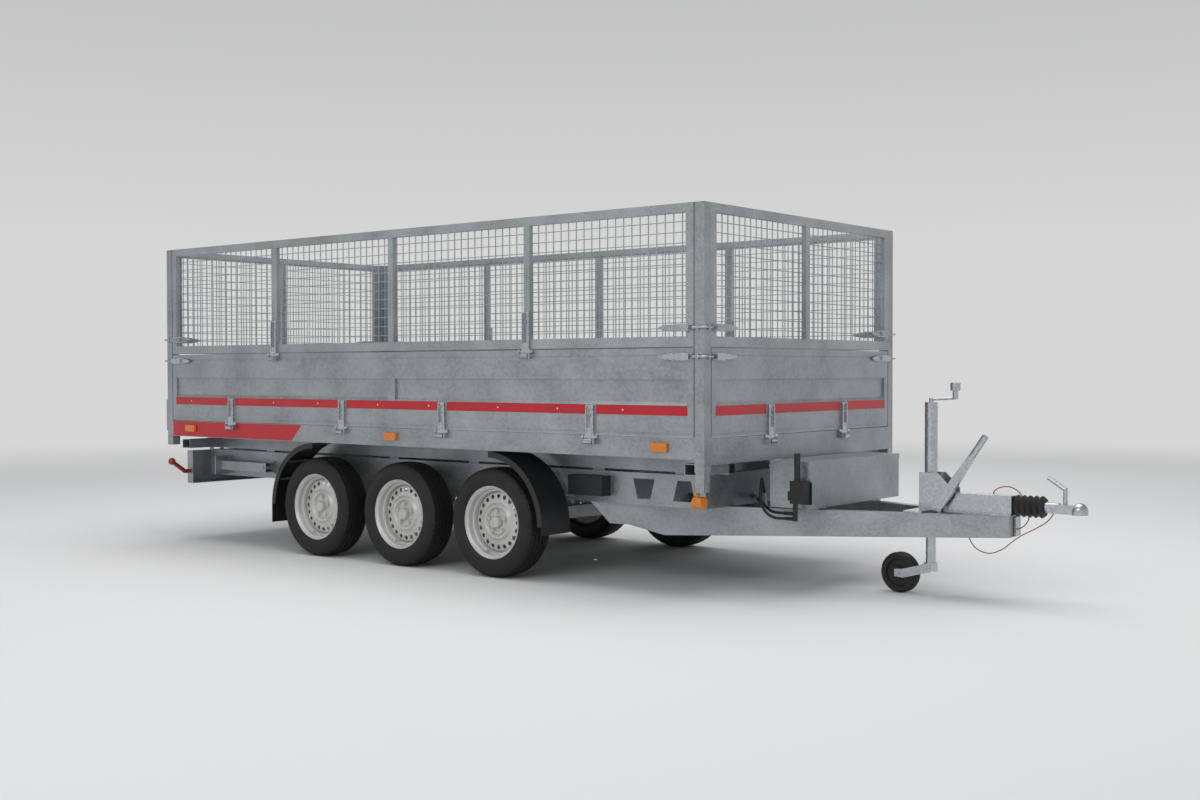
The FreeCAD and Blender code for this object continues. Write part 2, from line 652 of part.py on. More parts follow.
def mesh_grid(half_length, half_width):
    """The wire grid behind a mesh frame: one sheet with square openings at the wires' pitch."""
    x0 = half_length - MESH_RAIL + MESH_OVERLAP
    z0 = MESH_BOTTOM + MESH_SILL - MESH_OVERLAP
    z1 = CAGE_TOP - MESH_RAIL + MESH_OVERLAP
    y = half_width - MESH_DEPTH - SEAT_GAP
    columns = round(2 * x0 / MESH_PITCH)
    rows = round((z1 - z0) / MESH_PITCH)
    step_x = 2 * x0 / columns
    step_z = (z1 - z0) / rows
    half = WIRE / 2

    def rectangle(a, b, c, d):
        corners = [Vector(a, y, c), Vector(b, y, c), Vector(b, y, d), Vector(a, y, d)]
        return Part.makePolygon(corners + corners[:1])

    holes = []
    for i in range(columns):
        for j in range(rows):
            left = -x0 + step_x * i
            low = z0 + step_z * j
            holes.append(rectangle(left + half, left + step_x - half, low + half, low + step_z - half))
    outline = rectangle(-x0 - half, x0 + half, z0 - half, z1 + half)
    return Part.Face([outline] + holes).extrude(Vector(0, -WIRE, 0))


def side_pieces():
    """Board, fittings and mesh of the left side, with +Y outwards."""
    half_length = POST_INNER_X - PANEL_GAP
    inner = half_length - RECESS_END
    board = board_shape(half_length, HALF_WIDTH, [(-inner, -RIB_WIDTH / 2), (RIB_WIDTH / 2, inner)])
    lugs = []
    for x in (-MESH_STRAP_X, MESH_STRAP_X):
        lugs += board_lugs((x, SIDE_PIN_Y), MESH_PIN_Z, "x", 1, STRAP_WIDTH / 2 + LUG_GAP, HALF_WIDTH - 5)
    board = fused([board] + lugs)
    straps = [strap(k * x, HALF_WIDTH, PIN_OUT, BOARD_PIN_Z, BOARD_PIN_Z + STRAP_HEIGHT)
              for k in (-1, 1) for x in SIDE_STRAP_X]
    latches = [latch(k * (half_length - LATCH_LENGTH), k * half_length, HALF_WIDTH, LATCH_Z)
               for k in (-1, 1)]
    posts = [-MESH_STRAP_X, 0.0, MESH_STRAP_X]
    frame = mesh_frame(half_length, HALF_WIDTH, posts)
    grid = mesh_grid(half_length, HALF_WIDTH)
    mesh_straps = [strap(x, HALF_WIDTH, PIN_OUT, MESH_PIN_Z, MESH_PIN_Z + MESH_STRAP_HEIGHT)
                   for x in (-MESH_STRAP_X, MESH_STRAP_X)]
    mesh_latches = [latch(k * (half_length - LATCH_LENGTH), k * half_length, HALF_WIDTH, MESH_LATCH_Z)
                    for k in (-1, 1)]
    return board, straps + latches, [frame, grid] + mesh_straps + mesh_latches


left_board, left_fittings, left_mesh = side_pieces()
add("left_board", left_board)
add("left_board_fittings", *left_fittings)
add("left_mesh", *left_mesh)
add("right_board", mirrored(left_board))
add("right_board_fittings", *[mirrored(s) for s in left_fittings])
add("right_mesh", *[mirrored(s) for s in left_mesh])


def end_board():
    """The front board as made for +Y: it is turned to the bed's end afterwards."""
    half_length = POST_INNER_Y - PANEL_GAP
    inner = half_length - RECESS_END
    return board_shape(half_length, BED_FRONT, [(-inner, inner)])


def end_mesh():
    """The frame and grid of an end mesh, as made for +Y."""
    half_length = POST_INNER_Y - SEAT_GAP
    return [mesh_frame(half_length, BED_FRONT, [0.0]), mesh_grid(half_length, BED_FRONT)]


def end_latches(z):
    """The pair of latches on an end panel, as made for +Y."""
    half_length = POST_INNER_Y - PANEL_GAP
    return [latch(k * (half_length - LATCH_LENGTH), k * half_length, BED_FRONT, z) for k in (-1, 1)]


def gate_eye(side):
    """The eye plate on the tailgate that turns on the rear post's upper pin, as made for +Y."""
    x = side * (POST_INNER_Y - 18)
    pin_y = BED_FRONT + PIN_OUT
    arm = box(x - 6, x + 6, BED_FRONT + SEAT_GAP, pin_y, GATE_PIN_Z - 60, GATE_PIN_Z + 6)
    eye = rod((x - 6, pin_y, GATE_PIN_Z), (x + 6, pin_y, GATE_PIN_Z), EYE_RADIUS)
    hole = rod((x - 6, pin_y, GATE_PIN_Z), (x + 6, pin_y, GATE_PIN_Z), PIN_RADIUS + PIN_CLEARANCE)
    return fused([arm, eye]).cut(hole)


add("front_board", turned_to_end(end_board(), 1))
front_straps = [strap(y, BED_FRONT, PIN_OUT, BOARD_PIN_Z, BOARD_PIN_Z + STRAP_HEIGHT)
                for y in (-FRONT_STRAP_Y, FRONT_STRAP_Y)]
add("front_board_fittings", *[turned_to_end(s, 1) for s in front_straps + end_latches(LATCH_Z)])
add("tailgate", turned_to_end(end_board(), -1))
add("tailgate_fittings", *[turned_to_end(gate_eye(side), -1) for side in (-1, 1)])
end_meshes = [turned_to_end(s, end) for end in (-1, 1) for s in end_mesh() + end_latches(MESH_LATCH_Z)]
add("end_meshes", *end_meshes)


# ---------------------------------------------------------------- chassis
def mudguard_stays(axle_x, direction, side):
    """Two round bars from the rail's web that carry one mudguard, just inside its curve."""
    bars = []
    radius = MUDGUARD_RADIUS - MUDGUARD_WALL - SEAT_GAP - STAY_RADIUS
    for z in (RAIL_BOTTOM + RAIL_HEIGHT / 6, RAIL_TOP - RAIL_HEIGHT / 6):
        x = axle_x + direction * math.sqrt(radius ** 2 - (z - TYRE_RADIUS) ** 2)
        bars.append(rod((x, side * (RAIL_OUTER - 2), z), (x, side * (TYRE_OUTER_Y - 30), z), STAY_RADIUS))
    return bars


def leg_bracket(side):
    """The bracket and pin on the rail that a rear leg swings from."""
    y0 = side * (RAIL_OUTER - 2)
    face = side * (RAIL_OUTER + LEG_STANDOFF - 2)
    block = box(LEG_PIVOT_X - 34, LEG_PIVOT_X + 34, y0, face, LEG_Z - 40, LEG_Z + 40)
    pin_end = side * (RAIL_OUTER + LEG_STANDOFF + LEG_TUBE + 4)
    return fused([block, rod((LEG_PIVOT_X, face, LEG_Z), (LEG_PIVOT_X, pin_end, LEG_Z), 12)])


def lightening_hole(x, up, y, depth):
    """A trapezoid hole through a rail's web, wider at its top (up 1) or at its bottom (up -1)."""
    middle = (RAIL_BOTTOM + RAIL_TOP) / 2
    wide, narrow, tall = 68, 40, 52
    outline = [(x - narrow, middle - up * tall), (x + narrow, middle - up * tall),
               (x + wide, middle + up * tall), (x - wide, middle + up * tall)]
    return side_plate(outline, y, y + depth)


def chassis_rail(side):
    """A channel rail with its lightening holes, tipping ears, rests for the bed and axle plates."""
    y = side * RAIL_OUTER
    inner = y - side * RAIL_FLANGE
    rear = BED_REAR + BUMPER_DEPTH + SEAT_GAP
    outer = box(rear, RAIL_FRONT, y, inner, RAIL_BOTTOM, RAIL_TOP)
    hollow = box(rear, RAIL_FRONT, y - side * RAIL_WALL, inner, RAIL_BOTTOM + RAIL_WALL, RAIL_TOP - RAIL_WALL)
    rail = outer.cut(hollow)
    for x, up in ((RAIL_FRONT - 345, 1), (RAIL_FRONT - 95, -1)):
        rail = rail.cut(lightening_hole(x, up, y + side, -side * (RAIL_WALL + 2)))
    pieces = [rail]
    ear_rear, ear_front = max(TIP_X - EAR_RADIUS, rear), TIP_X + EAR_RADIUS
    beam_inner = side * (BEAM_OUTER - BEAM_WIDTH)
    inner_ear = beam_inner - side * (EAR_GAP + EAR_THICK)
    for face in (y, inner_ear):
        low, high = sorted((face, face + side * EAR_THICK))
        pieces.append(box(ear_rear, ear_front, low, high, RAIL_TOP - RAIL_WALL, TIP_Z))
        pieces.append(rod((TIP_X, low, TIP_Z), (TIP_X, high, TIP_Z), EAR_RADIUS))
    pieces.append(box(ear_rear, ear_front, y, inner_ear, RAIL_TOP - RAIL_WALL, RAIL_TOP))
    pieces.append(rod((TIP_X, y + side * EAR_THICK, TIP_Z), (TIP_X, inner_ear, TIP_Z), TIP_PIN_RADIUS))
    rests = (BED_REAR + 675, MIDDLE_AXLE_X - 315, MIDDLE_AXLE_X + 335, RAIL_FRONT - 650, RAIL_FRONT - 120)
    for x in rests:
        rest_rear, rest_front = x - REST_LENGTH / 2, x + REST_LENGTH / 2
        pieces.append(box(rest_rear, rest_front, beam_inner + side * 5, side * (BEAM_OUTER - 5),
                          RAIL_TOP, FRAME_BOTTOM - SEAT_GAP))
    for x in AXLE_XS:
        tube_x = x + ARM_LENGTH
        bottom = AXLE_Z + AXLE_TUBE / 2 + SEAT_GAP
        outline = [(tube_x - 75, RAIL_BOTTOM + 30), (tube_x + 75, RAIL_BOTTOM + 30),
                   (tube_x + 40, bottom), (tube_x - 40, bottom)]
        pieces.append(side_plate(outline, y, y - side * 8))
    for axle_x, direction in END_WHEELS:
        pieces += mudguard_stays(axle_x, direction, side)
    pieces.append(leg_bracket(side))
    return fused(pieces)


def cross_channel(x0, x1, bottom, top):
    """A tube across the chassis between the two rails' webs."""
    reach = RAIL_OUTER - RAIL_WALL - SEAT_GAP
    return box_tube(x0, x1, -reach, reach, bottom, top, RAIL_WALL, "y")


def front_plate():
    """The pressed plate across the rails' front ends, with the two unions of the pump's hoses."""
    x0, x1 = RAIL_FRONT + SEAT_GAP, RAIL_FRONT + CROSS_PLATE
    wall = CROSS_PLATE_WALL
    outer = box(x0, x1, -RAIL_OUTER, RAIL_OUTER, RAIL_BOTTOM, RAIL_TOP + CROSS_PLATE_RISE)
    top = RAIL_TOP + CROSS_PLATE_RISE
    hollow = box(x0, x1 - wall, -RAIL_OUTER + wall, RAIL_OUTER - wall, RAIL_BOTTOM + wall, top - wall)
    unions = []
    for points in (PRESSURE_HOSE, RETURN_HOSE):
        end, before = Vector(*points[-1]), Vector(*points[-2])
        run = (end - before).normalize()
        foot = end + run * ((x1 - 2 - end.x) / run.x)
        unions.append(rod(end, foot, HOSE_RADIUS + 4))
    return fused([outer.cut(hollow)] + unions)


def ram_cradle():
    """Two cross tubes and the pair of side plates that carry the ram's pivot pin."""
    low = RAIL_BOTTOM + CRADLE_INSET
    high = RAIL_TOP - CRADLE_INSET
    rear_x = RAM_X - RAM_RADIUS - CRADLE_BEHIND
    front_x = RAM_X + RAM_RADIUS + CRADLE_AHEAD
    cradle = [cross_channel(rear_x - CRADLE_TUBE, rear_x, low, high),
              cross_channel(front_x, front_x + CRADLE_TUBE, low, high)]
    for side in (-1, 1):
        y0 = side * RAM_SIDE_PLATE_Y
        outline = [(rear_x - CRADLE_TUBE, high), (rear_x - CRADLE_TUBE, low), (RAM_X - 40, RAM_PIVOT_Z - 36),
                   (RAM_X + 40, RAM_PIVOT_Z - 36), (front_x + CRADLE_TUBE, low),
                   (front_x + CRADLE_TUBE, high)]
        sheet = side_plate(outline, y0, y0 + side * 10)
        bore = rod((RAM_X, y0 - side, RAM_PIVOT_Z), (RAM_X, y0 + side * 11, RAM_PIVOT_Z),
                   TIP_PIN_RADIUS + TIP_CLEARANCE)
        cradle.append(sheet.cut(bore))
    return fused(cradle)


def crossmembers():
    """The front plate, two plain cross tubes and the cradle of the ram."""
    low = RAIL_BOTTOM + RAIL_WALL + 1
    high = RAIL_TOP - RAIL_WALL - 1
    half = CROSS_TUBE / 2
    tubes = [cross_channel(x - half, x + half, low, high) for x in (BED_REAR + 625, RAIL_FRONT - 570)]
    return [front_plate()] + tubes + [ram_cradle()]


def rear_crossbeam():
    """The channel across the rear end of the rails, open forwards, with closed ends."""
    x0, x1 = BED_REAR, BED_REAR + BUMPER_DEPTH
    beam = box(x0, x1, -BUMPER_HALF, BUMPER_HALF, BUMPER_BOTTOM, BUMPER_TOP)
    wall = BUMPER_WALL
    inside = BUMPER_HALF - wall
    return beam.cut(box(x0 + wall, x1, -inside, inside, BUMPER_BOTTOM + wall, BUMPER_TOP - wall))


def drawbar_beam(side):
    """One beam of the V: a channel, open inwards, deep below the box and tapering to its tip."""
    run = Vector(BEAM_TIP_X - BEAM_REAR_X, side * (BEAM_TIP_Y - BEAM_REAR_Y), 0)
    along = run.normalize()
    top = RAIL_BOTTOM - SEAT_GAP
    rear_bottom = RAIL_BOTTOM - DRAWBAR_REAR_DEPTH
    deep_bottom = RAIL_BOTTOM - DRAWBAR_DEPTH
    tip_bottom = RAIL_BOTTOM - DRAWBAR_TIP_DEPTH
    outline = [(BEAM_REAR_X - 20, top), (BEAM_REAR_X + 85, rear_bottom), (BEAM_REAR_X + 190, rear_bottom - 3),
               (DRAWBAR_DEEP_X, deep_bottom), (BEAM_TIP_X, tip_bottom), (BEAM_TIP_X, top)]

    def in_beam(x, offset, z):
        share = (x - BEAM_REAR_X) / (BEAM_TIP_X - BEAM_REAR_X)
        y = side * (BEAM_REAR_Y + share * (BEAM_TIP_Y - BEAM_REAR_Y))
        return (x, y + side * offset / along.x, z)

    half = DRAWBAR_WIDTH / 2
    depth = 2 * half / along.x
    body = plate([in_beam(x, half, z) for x, z in outline], (0, -side * depth, 0))
    wall = DRAWBAR_WALL
    inset = [(BEAM_REAR_X + 5, top - wall), (BEAM_REAR_X + 92, rear_bottom + wall),
             (BEAM_REAR_X + 190, rear_bottom - 3 + wall), (DRAWBAR_DEEP_X, deep_bottom + wall),
             (BEAM_TIP_X - 60, tip_bottom + wall), (BEAM_TIP_X - 60, top - wall)]
    pocket = plate([in_beam(x, half - wall, z) for x, z in inset], (0, -side * depth, 0))
    return body.cut(pocket)


def axle(x):
    """A torsion axle: a square tube across, with a trailing arm and a spindle at each end."""
    tube_x = x + ARM_LENGTH
    half = AXLE_TUBE / 2
    reach = RAIL_OUTER + 2
    pieces = [box(tube_x - half, tube_x + half, -reach, reach, AXLE_Z - half, AXLE_Z + half)]
    for side in (-1, 1):
        y0, y1 = side * reach, side * (reach + 34)
        pieces.append(rod((tube_x, y0, AXLE_Z), (tube_x, y1, AXLE_Z), 38))
        pieces.append(rod((x, y0, TYRE_RADIUS), (x, y1, TYRE_RADIUS), 34))
        rise = Vector(x - tube_x, 0, TYRE_RADIUS - AXLE_Z)
        normal = Vector(-rise.z, 0, rise.x).normalize() * 26
        corners = [(tube_x + normal.x, AXLE_Z + normal.z), (x + normal.x, TYRE_RADIUS + normal.z),
                   (x - normal.x, TYRE_RADIUS - normal.z), (tube_x - normal.x, AXLE_Z - normal.z)]
        pieces.append(side_plate(corners, y0, y1))
        pieces.append(rod((x, y1, TYRE_RADIUS), (x, side * (TYRE_OUTER_Y - 45), TYRE_RADIUS), SPINDLE_RADIUS))
    return fused(pieces)


def mudguard(axle_x, direction, side):
    """A plastic quarter guard over an end wheel, with a skirt along its outer edge and a flap."""
    y0 = side * (RAIL_OUTER + 50)
    y1 = side * (TYRE_OUTER_Y + 8)
    low, high = sorted((y0, y1))
    outer = MUDGUARD_RADIUS
    centre = Vector(axle_x, low, TYRE_RADIUS)
    ring = Part.makeCylinder(outer, high - low, centre, Vector(0, 1, 0))
    ring = ring.cut(Part.makeCylinder(outer - MUDGUARD_WALL, high - low, centre, Vector(0, 1, 0)))
    keep = box(axle_x, axle_x + direction * (outer + 10), low, high, TYRE_RADIUS, TYRE_RADIUS + outer + 10)
    arc = ring.common(keep)
    edge_y = sorted((y1, y1 - side * MUDGUARD_WALL))
    lip = Part.makeCylinder(outer, MUDGUARD_WALL, Vector(axle_x, edge_y[0], TYRE_RADIUS), Vector(0, 1, 0))
    lip = lip.cut(Part.makeCylinder(outer - 32, MUDGUARD_WALL, Vector(axle_x, edge_y[0], TYRE_RADIUS),
                                    Vector(0, 1, 0))).common(keep)
    x_out = axle_x + direction * outer
    flap_bottom = TYRE_RADIUS - (113.0 if direction < 0 else 43.0)
    flap = box(x_out, x_out - direction * MUDGUARD_WALL, low, high, flap_bottom, TYRE_RADIUS)
    return fused([arc, lip, flap])


add("chassis_rails", chassis_rail(-1), chassis_rail(1))
add("crossmembers", *crossmembers(), rear_crossbeam())
add("drawbar_beams", drawbar_beam(-1), drawbar_beam(1))
add("axles", *[axle(x) for x in AXLE_XS])
add("mudguards", *[mudguard(x, d, side) for x, d in END_WHEELS for side in (-1, 1)])


def rear_lamp(side):
    """A tail lamp block on the rear crossbeam, and a marker lamp on a rubber arm at its end."""
    x = BED_REAR - SEAT_GAP
    y = side * LAMP_Y
    block = box(x, x - LAMP_DEPTH, y - LAMP_HALF_WIDTH, y + LAMP_HALF_WIDTH,
                RAIL_BOTTOM + 5, RAIL_BOTTOM + 115)
    root = Vector(BED_REAR + 25, side * (BUMPER_HALF + SEAT_GAP), RAIL_BOTTOM + 25)
    bend = Vector(BED_REAR + 25, side * (BUMPER_HALF + 40), RAIL_BOTTOM + 25)
    tip = Vector(BED_REAR + 12, side * (BUMPER_HALF + LAMP_ARM_REACH), RAIL_BOTTOM + 93)
    radius = LAMP_ARM_RADIUS
    arm = fused([rod(root, bend, radius), Part.makeSphere(radius, bend), rod(bend, tip, radius),
                 Part.makeSphere(LAMP_LENS_RADIUS, tip)])
    return [block, arm]


add("rear_lamps", *(rear_lamp(-1) + rear_lamp(1)))


def marker_lamps():
    """Amber lamps along both skirts, and a white lamp on a rubber arm under each front post."""
    lamps = []
    for side in (-1, 1):
        face = side * (HALF_WIDTH + SEAT_GAP)
        for x in (-(BED_FRONT - SIDE_LAMP_INSET), 0.0, BED_FRONT - SIDE_LAMP_INSET):
            lamps.append(box(x - 48, x + 48, face, face + side * 14, FLOOR_TOP - 67, FLOOR_TOP - 25))
        y = side * (HALF_WIDTH - FRONT_LAMP_INSET)
        x = POST_INNER_X + POST_WALL - SEAT_GAP - FRONT_LAMP_STALK
        stalk = rod((x, y, FRONT_LAMP_Z), (x, y, STEM_BOTTOM + 35), FRONT_LAMP_STALK)
        lens = rod((x - 12, y, FRONT_LAMP_Z), (x + 42, y, FRONT_LAMP_Z), FRONT_LAMP_RADIUS)
        lamps.append(fused([stalk, lens]))
    return lamps


add("marker_lamps", *marker_lamps())


# ---------------------------------------------------------------- wheels
def tyre(x, side):
    """A tyre with rounded shoulders, seated just outside its rim."""
    half = TYRE_WIDTH / 2
    seat = RIM_SEAT + SEAT_GAP
    profile = [(seat, -half + 20), (seat + 22, -half + 8), (TYRE_RADIUS - 52, -half),
               (TYRE_RADIUS - 24, -half + 5),
               (TYRE_RADIUS - 8, -half + 18), (TYRE_RADIUS, -half + 40)]
    profile += [(r, -y) for r, y in reversed(profile)]
    centre = (x, side * (TYRE_OUTER_Y - half), TYRE_RADIUS)
    return spun(profile, centre)


def rim(x, side):
    """A steel rim: a dropped barrel with flanges, a dished disc and a hub turning on its spindle."""
    half = RIM_WIDTH / 2
    centre_y = side * (TYRE_OUTER_Y - TYRE_WIDTH / 2)
    seat = RIM_SEAT
    outline = [(seat, -half + 12), (seat - 14, -half + 34), (seat - 14, half - 60),
               (seat, half - 22), (seat, half - 12)]
    barrel = [(r, y) for r, y in outline] + [(r - RIM_WALL, y) for r, y in reversed(outline)]
    disc_y = side * 30
    disc = [(HUB_RADIUS - 5, disc_y + side * 4), (HUB_RADIUS - 5, disc_y - side * 4),
            (110, disc_y - side * 4),
            (seat - 16, disc_y - side * 30), (seat - 16, disc_y - side * 22), (110, disc_y + side * 4)]
    centre = (x, centre_y, TYRE_RADIUS)
    hub_in = side * (RAIL_OUTER + 48)
    hub_out = centre_y + side * 42
    hub = rod((x, hub_in, TYRE_RADIUS), (x, hub_out, TYRE_RADIUS), HUB_RADIUS)
    bore = rod((x, hub_in, TYRE_RADIUS), (x, side * (TYRE_OUTER_Y - 45) + side * 0.5, TYRE_RADIUS),
               SPINDLE_RADIUS + SPINDLE_CLEARANCE)
    return fused([spun(barrel, centre), spun(disc, centre), hub]).cut(bore)


for name, x in zip(AXLE_NAMES, AXLE_XS):
    for word, side in SIDES:
        add(f"{name}_{word}_tyre", tyre(x, side))
        add(f"{name}_{word}_rim", rim(x, side))


# ---------------------------------------------------------------- overrun coupling and handbrake
def overrun_housing():
    """A square tube on the beams with a flanged foot, the lever's ears, the brake bracket below it,
    and the plate just ahead of the beams' tips that holds the lever's cable."""
    half = HOUSING_WIDTH / 2
    top = RAIL_BOTTOM + FOOT_THICK
    foot = box(HOUSING_REAR - 5, BEAM_TIP_X + 3, -half - FOOT_SIDE, half + FOOT_SIDE, RAIL_BOTTOM, top)
    body = box(HOUSING_REAR, HOUSING_FRONT, -half, half, top, HOUSING_TOP)
    bore = rod((HOUSING_REAR + 40, 0, COUPLING_Z), (HOUSING_FRONT, 0, COUPLING_Z), SHAFT_RADIUS + SEAT_GAP)
    ear = box(LEVER_X - 22, LEVER_X + 22, -half - 16, -half, top, LEVER_Z + 20)
    pin = rod((LEVER_X, -half, LEVER_Z), (LEVER_X, -half - 42, LEVER_Z), LEVER_PIN_RADIUS)
    bracket = box(BRAKE_BRACKET_X, BRAKE_BRACKET_X + 62, BRAKE_ROD_Y - 12, BRAKE_ROD_Y + 14,
                  RAIL_BOTTOM - BRAKE_ROD_DROP - 20, RAIL_BOTTOM)
    cable_x, cable_y, cable_z = LEVER_CABLE[0]
    cleat = box(cable_x - 16, cable_x + 16, half, cable_y + 10, cable_z - 40, cable_z)
    parts = [foot, body, ear, pin, bracket, cleat]
    plate_x = BEAM_TIP_X + 3 + SEAT_GAP
    tip_plate = box(plate_x, plate_x + 8, -14, 46, RAIL_BOTTOM - 95, RAIL_BOTTOM - 6)
    holes = [recess(points, CABLE_RADIUS) for points in (BREAKAWAY_CABLE, LEVER_CABLE)]
    return [fused(parts).cut([bore] + holes), tip_plate.cut(recess(LEVER_CABLE[::-1], CABLE_RADIUS))]


def brake_rod():
    """The rod from the overrun bracket back to the front axle, with a nut at its rear end."""
    z = RAIL_BOTTOM - BRAKE_ROD_DROP
    front = BRAKE_BRACKET_X - SEAT_GAP
    rear = AXLE_XS[2] + ARM_LENGTH + AXLE_TUBE / 2 + SEAT_GAP
    nut = rod((rear, BRAKE_ROD_Y, z), (rear + 30, BRAKE_ROD_Y, z), 12)
    return fused([rod((rear, BRAKE_ROD_Y, z), (front, BRAKE_ROD_Y, z), BRAKE_ROD_RADIUS), nut])


def handbrake_lever():
    """The handbrake: a flat bar from its pivot, with a grip at the end, standing as parked."""
    y0 = -HOUSING_WIDTH / 2 - 17
    y1 = y0 - 24
    angle = math.radians(LEVER_ANGLE)

    def at(along, across):
        return (LEVER_X + along * math.cos(angle) - across * math.sin(angle),
                LEVER_Z + along * math.sin(angle) + across * math.cos(angle))

    arm = side_plate([at(-24, -22), at(60, -24), at(300, -15), at(300, 15), at(60, 24), at(-24, 22)], y0, y1)
    grip_y = (y0 + y1) / 2
    g0, g1 = at(292, 0), at(LEVER_REACH, 0)
    grip = rod((g0[0], grip_y, g0[1]), (g1[0], grip_y, g1[1]), 16)
    hole = rod((LEVER_X, y0 + 1, LEVER_Z), (LEVER_X, y1 - 1, LEVER_Z), LEVER_PIN_RADIUS + PIN_CLEARANCE)
    return fused([arm, grip]).cut(hole)


def coupling_head():
    """The drawtube and the ball coupling: a domed hood with its socket open below, and a handle."""
    shaft = rod((HOUSING_REAR + 60, 0, COUPLING_Z), (NOSE_X - 130, 0, COUPLING_Z), SHAFT_RADIUS)
    socket_x = NOSE_X - 38
    socket_z = COUPLING_Z - 8
    hood = Part.makeSphere(38, Vector(socket_x, 0, socket_z))
    hood = hood.fuse(rod((socket_x, 0, socket_z - 18), (socket_x, 0, socket_z), 38))
    hood = hood.common(box(socket_x - 60, NOSE_X, -60, 60, socket_z - 18, socket_z + 60))
    neck = box(NOSE_X - 180, socket_x, -30, 30, socket_z - 16, socket_z + 26)
    ball = Part.makeSphere(25.2, Vector(socket_x, 0, socket_z))
    mouth = rod((socket_x, 0, socket_z - 20), (socket_x, 0, socket_z), 25.2)
    pivot = NOSE_X - 104
    handle = rod((pivot, 0, socket_z + 20), (pivot, 0, socket_z + 98), 10)
    grip = rod((pivot, 0, socket_z + 94), (pivot - 80, 0, socket_z + 146), 10)
    knee = Part.makeSphere(10, Vector(pivot, 0, socket_z + 96))
    return fused([shaft, hood, neck, handle, knee, grip]).cut([ball, mouth])


def bellows():
    """The rubber bellows round the drawtube, in five folds."""
    start = HOUSING_FRONT + SEAT_GAP
    folds = 5
    step = (BELLOWS_END - start) / folds
    points = [(start, SHAFT_RADIUS + SEAT_GAP)]
    for k in range(folds):
        points += [(start + step * k, 42), (start + step * (k + 0.5), 52)]
    points += [(BELLOWS_END, 42), (BELLOWS_END, SHAFT_RADIUS + SEAT_GAP)]
    face = Part.Face(Part.makePolygon([Vector(x, 0, COUPLING_Z + r) for x, r in points + points[:1]]))
    return face.revolve(Vector(start, 0, COUPLING_Z), Vector(1, 0, 0), 360)


add("overrun_housing", *overrun_housing())
add("brake_rod", brake_rod())
add("handbrake_lever", handbrake_lever())
add("coupling_head", coupling_head())
add("drawtube_bellows", bellows())


# ---------------------------------------------------------------- jockey wheel
def jockey_bracket():
    """Two gusset plates on the beams' cross plate that hold the clamp of the jockey tube."""
    half = HOUSING_WIDTH / 2
    top = RAIL_BOTTOM + JOCKEY_BRACKET_RISE
    outline = [(JOCKEY_X - 41, RAIL_BOTTOM + 10), (JOCKEY_X - 41, top), (JOCKEY_X + 56, top),
               (JOCKEY_X + 130, HOUSING_TOP + 18), (JOCKEY_X + 130, HOUSING_TOP + SEAT_GAP),
               (HOUSING_REAR - SEAT_GAP, HOUSING_TOP + SEAT_GAP), (HOUSING_REAR - SEAT_GAP, RAIL_BOTTOM + 10)]
    sheets = [side_plate(outline, side * (half - 8), side * half) for side in (-1, 1)]
    base_reach = 175
    base = box(JOCKEY_X - 60, HOUSING_REAR - 6, -base_reach, base_reach, RAIL_BOTTOM, RAIL_BOTTOM + 10)
    clamp = box(JOCKEY_X - 36, JOCKEY_X + 36, -half + 1, half - 1, RAIL_BOTTOM + 55, RAIL_BOTTOM + 165)
    bore = rod((JOCKEY_X, 0, JOCKEY_TUBE_BOTTOM), (JOCKEY_X, 0, top + 10), JOCKEY_TUBE_RADIUS + SEAT_GAP)
    return fused(sheets + [base, clamp]).cut(bore)


def jockey_crank():
    """The crank on the jockey tube: a spindle, an arm forwards and a knob."""
    z = JOCKEY_TOP + SEAT_GAP
    cap = rod((JOCKEY_X, 0, z), (JOCKEY_X, 0, z + 5), JOCKEY_TUBE_RADIUS)
    spindle = rod((JOCKEY_X, 0, z), (JOCKEY_X, 0, z + 24), 11)
    arm = rod((JOCKEY_X, 0, z + 18), (JOCKEY_X + CRANK_ARM, 0, z + 24), 6)
    post = rod((JOCKEY_X + CRANK_ARM, 0, z + 20), (JOCKEY_X + CRANK_ARM, 0, z + 62), 13)
    knob = rod((JOCKEY_X + CRANK_ARM, 0, z + 62), (JOCKEY_X + CRANK_ARM, 0, z + 100), 24)
    return fused([cap, spindle, arm, post, knob])


def jockey_fork():
    """The fork: a collar that turns on the tube's end, two trailing plates and the wheel's pin."""
    hub_x = JOCKEY_X - JOCKEY_TRAIL
    z = JOCKEY_WHEEL_RADIUS
    inner = JOCKEY_WHEEL_WIDTH / 2 + 5
    collar = rod((JOCKEY_X, 0, z + 20), (JOCKEY_X, 0, z + 62), JOCKEY_INNER_RADIUS + 9)
    pieces = [collar]
    for side in (-1, 1):
        outline = [(hub_x - 18, z - 18), (hub_x + 30, z - 22), (JOCKEY_X - 10, z + 12),
                   (JOCKEY_X + 14, z + 14), (JOCKEY_X + 14, z + 56), (JOCKEY_X - 30, z + 50),
                   (hub_x + 20, z + 20), (hub_x - 18, z + 18)]
        pieces.append(side_plate(outline, side * inner, side * (inner + 5)))
    pieces.append(box(JOCKEY_X - 24, JOCKEY_X + 14, -inner - 5, inner + 5, z + 26, z + 56))
    pieces.append(rod((hub_x, -inner - 12, z), (hub_x, inner + 12, z), 8))
    socket = rod((JOCKEY_X, 0, z + 40), (JOCKEY_X, 0, z + 70), JOCKEY_INNER_RADIUS + TIP_CLEARANCE)
    return fused(pieces).cut(socket)


